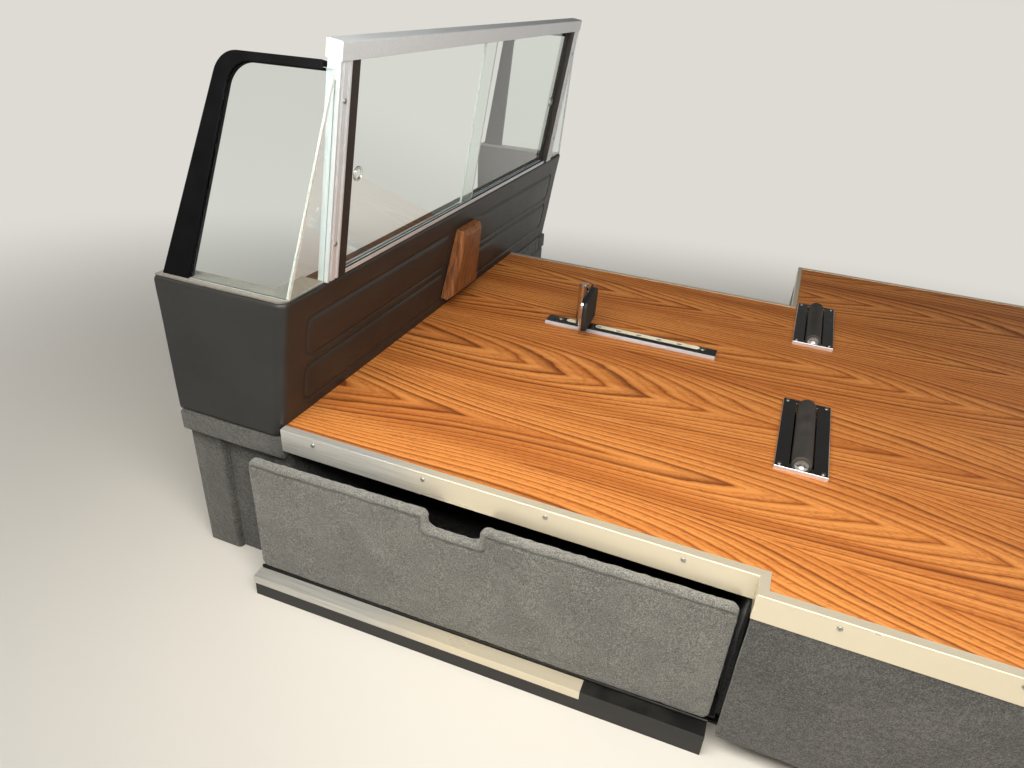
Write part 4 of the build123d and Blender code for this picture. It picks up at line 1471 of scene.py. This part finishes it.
@dataclass
class PartitionWall(SubAssembly):
    """Upholstered wall with its returns, felt ledges and wood bumper block."""

    far_side: float = 1400.0
    top: float = 250.0
    bottom: float = -22.0
    padding: float = 14.0
    return_length: float = 236.0
    return_thickness: float = 50.0
    corner: float = 20.0
    top_roll: float = 9.0
    back_edge: float = 3.0
    plain_top: float = 6.0
    panel_margin: float = 70.0
    panel_rows: tuple[tuple[float, float], ...] = ((23.0, 98.0), (118.0, 196.0))
    panel_corner: float = 16.0
    groove_depth: float = 2.6
    groove_half: float = 3.6
    # Within this reach of a seam the cover's grid is fine, and past it the steps grow by this share.
    seam_reach: float = 12.0
    seam_growth: float = 0.4
    puff: float = 2.2
    puff_run: float = 11.0
    # The wood block's near and far side, foot and head, and how the vinyl is pressed flat round it.
    block: tuple[float, float, float, float] = (620.0, 780.0, 29.0, 201.0)
    block_fade: float = 14.0
    block_dent: float = 0.6
    dent_width: float = 10.0
    # The padding's waves over all that shows: height and size of each.
    waves: tuple[tuple[float, float], ...] = ((0.8, 120.0), (0.25, 35.0))
    felt_pitch: float = 6.0
    felt_lift: float = 0.5
    felt_size: float = 18.0
    ledge_width: float = 140.0

    def build(self) -> None:
        """Build the upholstery, the felt and the block."""
        self.build_upholstery()
        self.build_felt()
        self.shop.softened("bumper_block", 1.6, angle=15, segments=3)
        self.shop.softened("partition_core", 1.0)

    def outer(self, run: float, height: float) -> tuple[float, float]:
        """Follow the cover's outer face: along a return, round its corner and along the wall.

        Args:
            run: Millimetres along the face from the near return's front end.
            height: Millimetres above the deck.

        Returns:
            Deck X and Y.
        """
        wall_x = self.shop.deck.lean_x(height)
        straight, arc = self.return_length - self.corner, self.corner * math.pi / 2
        wall = self.far_side - 2 * self.corner
        total = 2 * (straight + arc) + wall
        mirrored = run > total / 2
        run = total - run if mirrored else run
        if run < straight:
            x, y = -self.return_length + run / straight * (wall_x - self.corner + self.return_length), 0.0
        elif run < straight + arc:
            turn = (run - straight) / self.corner
            x = wall_x - self.corner * (1 - math.sin(turn))
            y = self.corner * (1 - math.cos(turn))
        else:
            x, y = wall_x, self.corner + run - straight - arc
        return x, self.far_side - y if mirrored else y

    def inner(self, x: float, y: float, height: float) -> tuple[float, float]:
        """Give the point of the cover's back that lies behind a point of its outer face."""
        side = self.return_thickness
        return (
            min(x, self.shop.deck.lean_x(height) - self.padding), min(max(y, side), self.far_side - side)
        )

    def relief(self, x: float, y: float, height: float) -> float:
        """Give how far the vinyl stands proud of the cover's plane: the puffed panels and their grooves.

        Args:
            x: Deck X of the point.
            y: Deck Y of the point.
            height: Millimetres above the deck.

        Returns:
            Millimetres outward.
        """
        middle = self.far_side / 2
        proud = 0.0
        for low, high in self.panel_rows:
            half_y, half_z = middle - self.panel_margin, (high - low) / 2
            over_y = abs(y - middle) - half_y + self.panel_corner
            over_z = abs(height - (low + high) / 2) - half_z + self.panel_corner
            round_corner = math.hypot(max(over_y, 0.0), max(over_z, 0.0))
            edge = round_corner + min(max(over_y, over_z), 0.0) - self.panel_corner
            proud -= self.groove_depth * bell(edge, self.groove_half)
            if edge < 0:
                proud += self.puff * (1 - math.exp(edge / self.puff_run))
        near, far, foot, head = self.block
        beside = math.hypot(max(near - y, 0.0, y - far), max(foot - height, 0.0, height - head))
        return proud * (1 - bell(beside, self.block_fade)) - self.block_dent * bell(beside, self.dent_width)

    def stations(
        self, low: float, high: float, seams: Sequence[float], fine: float, coarse: float
    ) -> list[float]:
        """Give grid places that crowd round the seams.

        Args:
            low: The first place.
            high: The last place.
            seams: Places that need a fine grid.
            fine: Spacing near a seam.
            coarse: Spacing elsewhere.

        Returns:
            The places, in order.
        """
        places, at = [low], low
        while at < high - fine * 1.5:
            past = max(min(abs(at - seam) for seam in seams) - self.seam_reach, 0.0)
            at += min(coarse, fine + past * self.seam_growth)
            places.append(min(at, high))
        places[-1] = high
        return places

    def build_upholstery(self) -> None:
        """Build the padded vinyl cover as one closed form that runs round both returns and the wall."""
        deck = self.shop.deck
        straight, arc = self.return_length - self.corner, self.corner * math.pi / 2
        total = 2 * (straight + arc) + self.far_side - 2 * self.corner
        side_seam = straight + arc + self.panel_margin - self.corner
        seams = (0.0, straight + arc / 2, side_seam, total - side_seam, total - straight - arc / 2, total)
        runs = self.stations(0.0, total, seams, fine=2.4, coarse=8.0)
        lines = [line for row in self.panel_rows for line in row]
        foot, shoulder = self.bottom + self.back_edge, self.top - self.top_roll
        heights = self.stations(foot, shoulder, lines, fine=1.9, coarse=7.0)
        roll = [math.radians(angle) for angle in range(10, 100, 10)]
        # Each step round the section: height, then distance behind the outer face, or in front of the back.
        section = [(height, 0.0, True) for height in heights]
        section += [
            (self.top - self.top_roll * (1 - math.sin(turn)), self.top_roll * (1 - math.cos(turn)), True)
            for turn in roll
        ]
        section += [(self.top, self.back_edge, False), (self.top - self.back_edge, 0.0, False)]
        section += [(height, 0.0, False) for height in reversed(heights[::4])]
        section += [(self.bottom, self.back_edge, False), (self.bottom, self.back_edge, True)]
        bpy.ops.object.select_all(action="DESELECT")
        bpy.ops.mesh.primitive_grid_add(x_subdivisions=len(runs) - 1, y_subdivisions=len(section), size=1)
        cover = bpy.context.active_object
        cover.name = "wall_upholstery"
        columns = len(runs)
        for index, vertex in enumerate(cover.data.vertices):
            run = runs[index % columns]
            height, off, front = section[(index // columns) % len(section)]
            x, y = self.outer(run, height)
            back_x, back_y = self.inner(x, y, height)
            depth = math.hypot(back_x - x, back_y - y)
            share = off / depth if front else 1 - off / depth
            vertex.co = deck.at(x + (back_x - x) * share, y + (back_y - y) * share, height)
        with edit_mode(cover):
            bpy.ops.mesh.select_all(action="SELECT")
            bpy.ops.mesh.remove_doubles(threshold=0.00005)
            pick("EDGE", lambda edge: edge.is_boundary)
            bpy.ops.mesh.fill_holes(sides=0)
            bpy.ops.mesh.select_all(action="SELECT")
            bpy.ops.mesh.normals_make_consistent(inside=False)

        def swell(place: Vector, normal: Vector) -> float:
            """Give how far the padding moves a point of the cover, in millimetres."""
            x, y, height = (place - deck.origin) / MM
            low, high, side = self.bottom, self.top - self.plain_top, self.return_thickness / 2
            on_wall = normal.dot(deck.wall_normal) > 0.5 and low < height < high
            seen = normal.x > 0.3 or abs(normal.y) > 0.6 and not side < y < self.far_side - side
            waves = sum(rise * lumps(place, size) for rise, size in self.waves)
            return (self.relief(x, y, height) if on_wall else 0.0) + (waves if seen else 0.0)

        pushed(cover, swell)
        stands_for = ["wall_panel", "near_return", "far_return"]
        piece = self.shop.place(smoothed(cover, 60), Slot.VINYL, nodes=stands_for)

    def build_felt(self) -> None:
        """Build the felt strips on top of the returns, with their frayed, slightly lifting edges."""
        node = "felt_ledges"
        piece = sliced(self.shop.merged_copy(node, "felt_strips"), self.felt_pitch, self.ledge_width)
        pushed(piece, lambda place, normal: self.felt_lift * lumps(place, self.felt_size))
        self.shop.place(smoothed(piece, 50), Slot.FELT, nodes=[node])


@dataclass
class GlassFrame(SubAssembly):
    """Posts, header, track and panes over the wall, with the side jambs."""

    screw: ScrewHead = ScrewHead("post_screw", 4.4, 2.2)
    screw_heights: tuple[float, float] = (554.0, 319.0)
    screw_y: float = 134.0
    post_proud: float = 2.0
    far_side: float = 1400.0
    edge_band: float = 0.5
    panes: tuple[str, ...] = (
        "near_sliding_pane", "far_sliding_pane", "near_side_pane", "far_side_pane", "filler_panes",
    )

    def build(self) -> None:
        """Round the frame's edges and the panes', band the panes' ground sides and drive the posts' screws.
        """
        deck = self.shop.deck
        for node in ("near_post", "far_post", "header_rail"):
            self.shop.softened(node, 0.7)
        track = self.shop.softened("glass_track", 0.7)
        seal = self.shop.palette.materials[Slot.SEAL]
        self.shop.faced(track, seal, lambda face: abs(face.normal.dot(deck.wall_normal)) < 0.6)
        for node in ("near_side_jamb", "far_side_jamb"):
            self.shop.softened(node, 2.2, segments=3)
        for node in self.panes:
            self.shop.softened(node, 0.8)
        self.build_ground_edges()
        self.shop.softened("finger_pulls", 0.8, segments=3)
        places = [
            (deck.on_wall(y, height, self.post_proud), deck.wall_normal)
            for y in (self.screw_y, self.far_side - self.screw_y) for height in self.screw_heights
        ]
        self.shop.drive(self.screw.build(), "post_screws", places)

    def build_ground_edges(self) -> None:
        """Band the panes' narrow sides, which are ground and frosted."""
        bands = []
        for node in self.panes:
            band = self.shop.merged_copy(node, f"{node}_band")
            across = max(band.data.polygons, key=lambda face: face.area).normal.copy()
            with edit_mode(band):
                pick("FACE", lambda face: abs(face.normal.dot(across)) > 0.5)
                bpy.ops.mesh.delete(type="FACE")
            bands.append(modified(band, "SOLIDIFY", thickness=self.edge_band * MM, offset=1.0))
        joined = activate(*bands)
        bpy.ops.object.join()
        joined.name = "pane_ground_edges"
        piece = self.shop.place(smoothed(joined), Slot.GLASS)
        self.shop.palette.dress(piece, Slot.GLASS, self.shop.palette.ground_edge)


@dataclass
class SubFrame(SubAssembly):
    """Tube frame, feet and bearers below the deck."""

    tubes: tuple[str, ...] = ("deck_rails", "cross_members")
    tube_round: float = 1.8

    def build(self) -> None:
        """Round the tubes' corners."""
        for node in self.tubes:
            self.shop.softened(node, self.tube_round)


@dataclass
class Studio:
    """Pale seamless floor, soft lamps, and the camera at the photograph's viewing angle."""

    deck: DeckFrame
    eye: Point = (762.0, -856.0, 735.0)
    yaw: float = math.radians(20.54)
    pitch: float = math.radians(29.70)
    roll: float = math.radians(-3.59)
    lens: float = 25.09
    aim: Point = (-0.6, 0.0, 0.4)
    floor_size: float = 40.0
    ambient: str = "#565554"
    lamps: tuple = field(default=(
        ("door_softbox", (-0.65, -1.2, 1.4), (1.9, 0.8), 38.0, "#fffaf2"),
        ("low_right_softbox", (1.1, -2.6, 0.75), (1.0, 1.1), 15.0, "#fff3e2"),
        ("left_fill", (-3.2, -1.4, 1.9), (1.6, 1.6), 7.5, "#f7f6f2"),
        ("far_fill", (1.8, 3.2, 2.4), (1.8, 1.4), 6.0, "#ffffff"),
    ))

    def build(self) -> None:
        """Build the stage, the world, the lamps and the camera."""
        self.build_floor()
        self.build_world()
        for name, place, size, power, colour in self.lamps:
            self.build_lamp(name, Vector(place), size, power, colour)
        self.build_camera()

    def build_floor(self) -> None:
        """Lay a large pale floor."""
        bpy.ops.object.select_all(action="DESELECT")
        bpy.ops.mesh.primitive_plane_add(size=self.floor_size, location=(0, 0, 0))
        floor = bpy.context.active_object
        floor.name = "studio_floor"
        floor.data.materials.append(StudioFloor("seamless_paper").build())
        floor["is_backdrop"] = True

    def build_world(self) -> None:
        """Light the world from its horizon, and darken it overhead so that metal has something to show."""
        world = bpy.data.worlds.new("studio")
        world.use_nodes = True
        bpy.context.scene.world = world
        sky = NodeTree(world.node_tree)
        direction = sky.add("SeparateXYZ", (sky.add("TexCoord").outputs["Generated"],)).outputs
        ramp = sky.add("ValToRGB", (direction["Z"],), stops=(
            (0.0, "#dedbd4"), (0.1, "#b9b6b0"), (0.3, "#454442"), (0.6, "#323130"),
        ))
        seen = sky.backdrop_seen()
        colour = sky.add("Mix", {0: seen, 6: linear(self.ambient), 7: ramp}, data_type="RGBA")
        sky.add("OutputWorld", (sky.add("Background", (colour, 1.0)),))

    def build_lamp(
        self, name: str, place: Vector, size: tuple[float, float], power: float, colour: str
    ) -> None:
        """Hang one softbox and aim it at the middle of the deck.

        Args:
            name: The lamp's name.
            place: Where it hangs, in metres.
            size: Its width and height, in metres.
            power: Its power in watts.
            colour: Its colour.
        """
        lamp = bpy.data.lights.new(name, "AREA")
        lamp.shape, lamp.size, lamp.size_y = "RECTANGLE", *size
        lamp.energy, lamp.color = power, linear(colour)[:3]
        holder = bpy.data.objects.new(name, lamp)
        bpy.context.scene.collection.objects.link(holder)
        holder.location = place
        holder.rotation_euler = (Vector(self.aim) - place).to_track_quat("-Z", "Y").to_euler()

    def build_camera(self) -> None:
        """Set the camera where the photograph was taken from."""
        level_right = Vector((math.cos(self.yaw), math.sin(self.yaw), 0))
        level_forward = Vector((-math.sin(self.yaw), math.cos(self.yaw), 0))
        forward = level_forward * math.cos(self.pitch) - Vector((0, 0, math.sin(self.pitch)))
        level_down = forward.cross(level_right)
        right = level_right * math.cos(self.roll) + level_down * math.sin(self.roll)
        down = level_down * math.cos(self.roll) - level_right * math.sin(self.roll)
        camera = bpy.data.cameras.new("camera")
        camera.lens, camera.sensor_width = self.lens, 36.0
        camera.clip_start, camera.clip_end = 0.01, 100.0
        holder = bpy.data.objects.new("camera", camera)
        bpy.context.scene.collection.objects.link(holder)
        turn = Matrix((right, -down, -forward)).transposed().to_4x4()
        holder.matrix_world = Matrix.Translation(self.deck.at(*self.eye)) @ turn
        bpy.context.scene.camera = holder


def main() -> None:
    """Build the scene's sub-assemblies in order."""
    logging.basicConfig(level=logging.INFO, format="%(asctime)s %(name)s: %(message)s")
    bpy.context.preferences.edit.use_global_undo = False
    bpy.ops.object.select_all(action="SELECT")
    bpy.ops.object.delete()
    bpy.context.scene.view_settings.view_transform = "Standard"
    shop = Workshop()
    for assembly in (Deck, BierHardware, Rollers, StorageWell, PartitionWall, GlassFrame, SubFrame):
        assembly(shop).build()
        LOG.info("%s is built", assembly.__name__)
    Studio(shop.deck).build()
    bpy.ops.object.select_all(action="DESELECT")


if __name__ == "__main__":
    main()
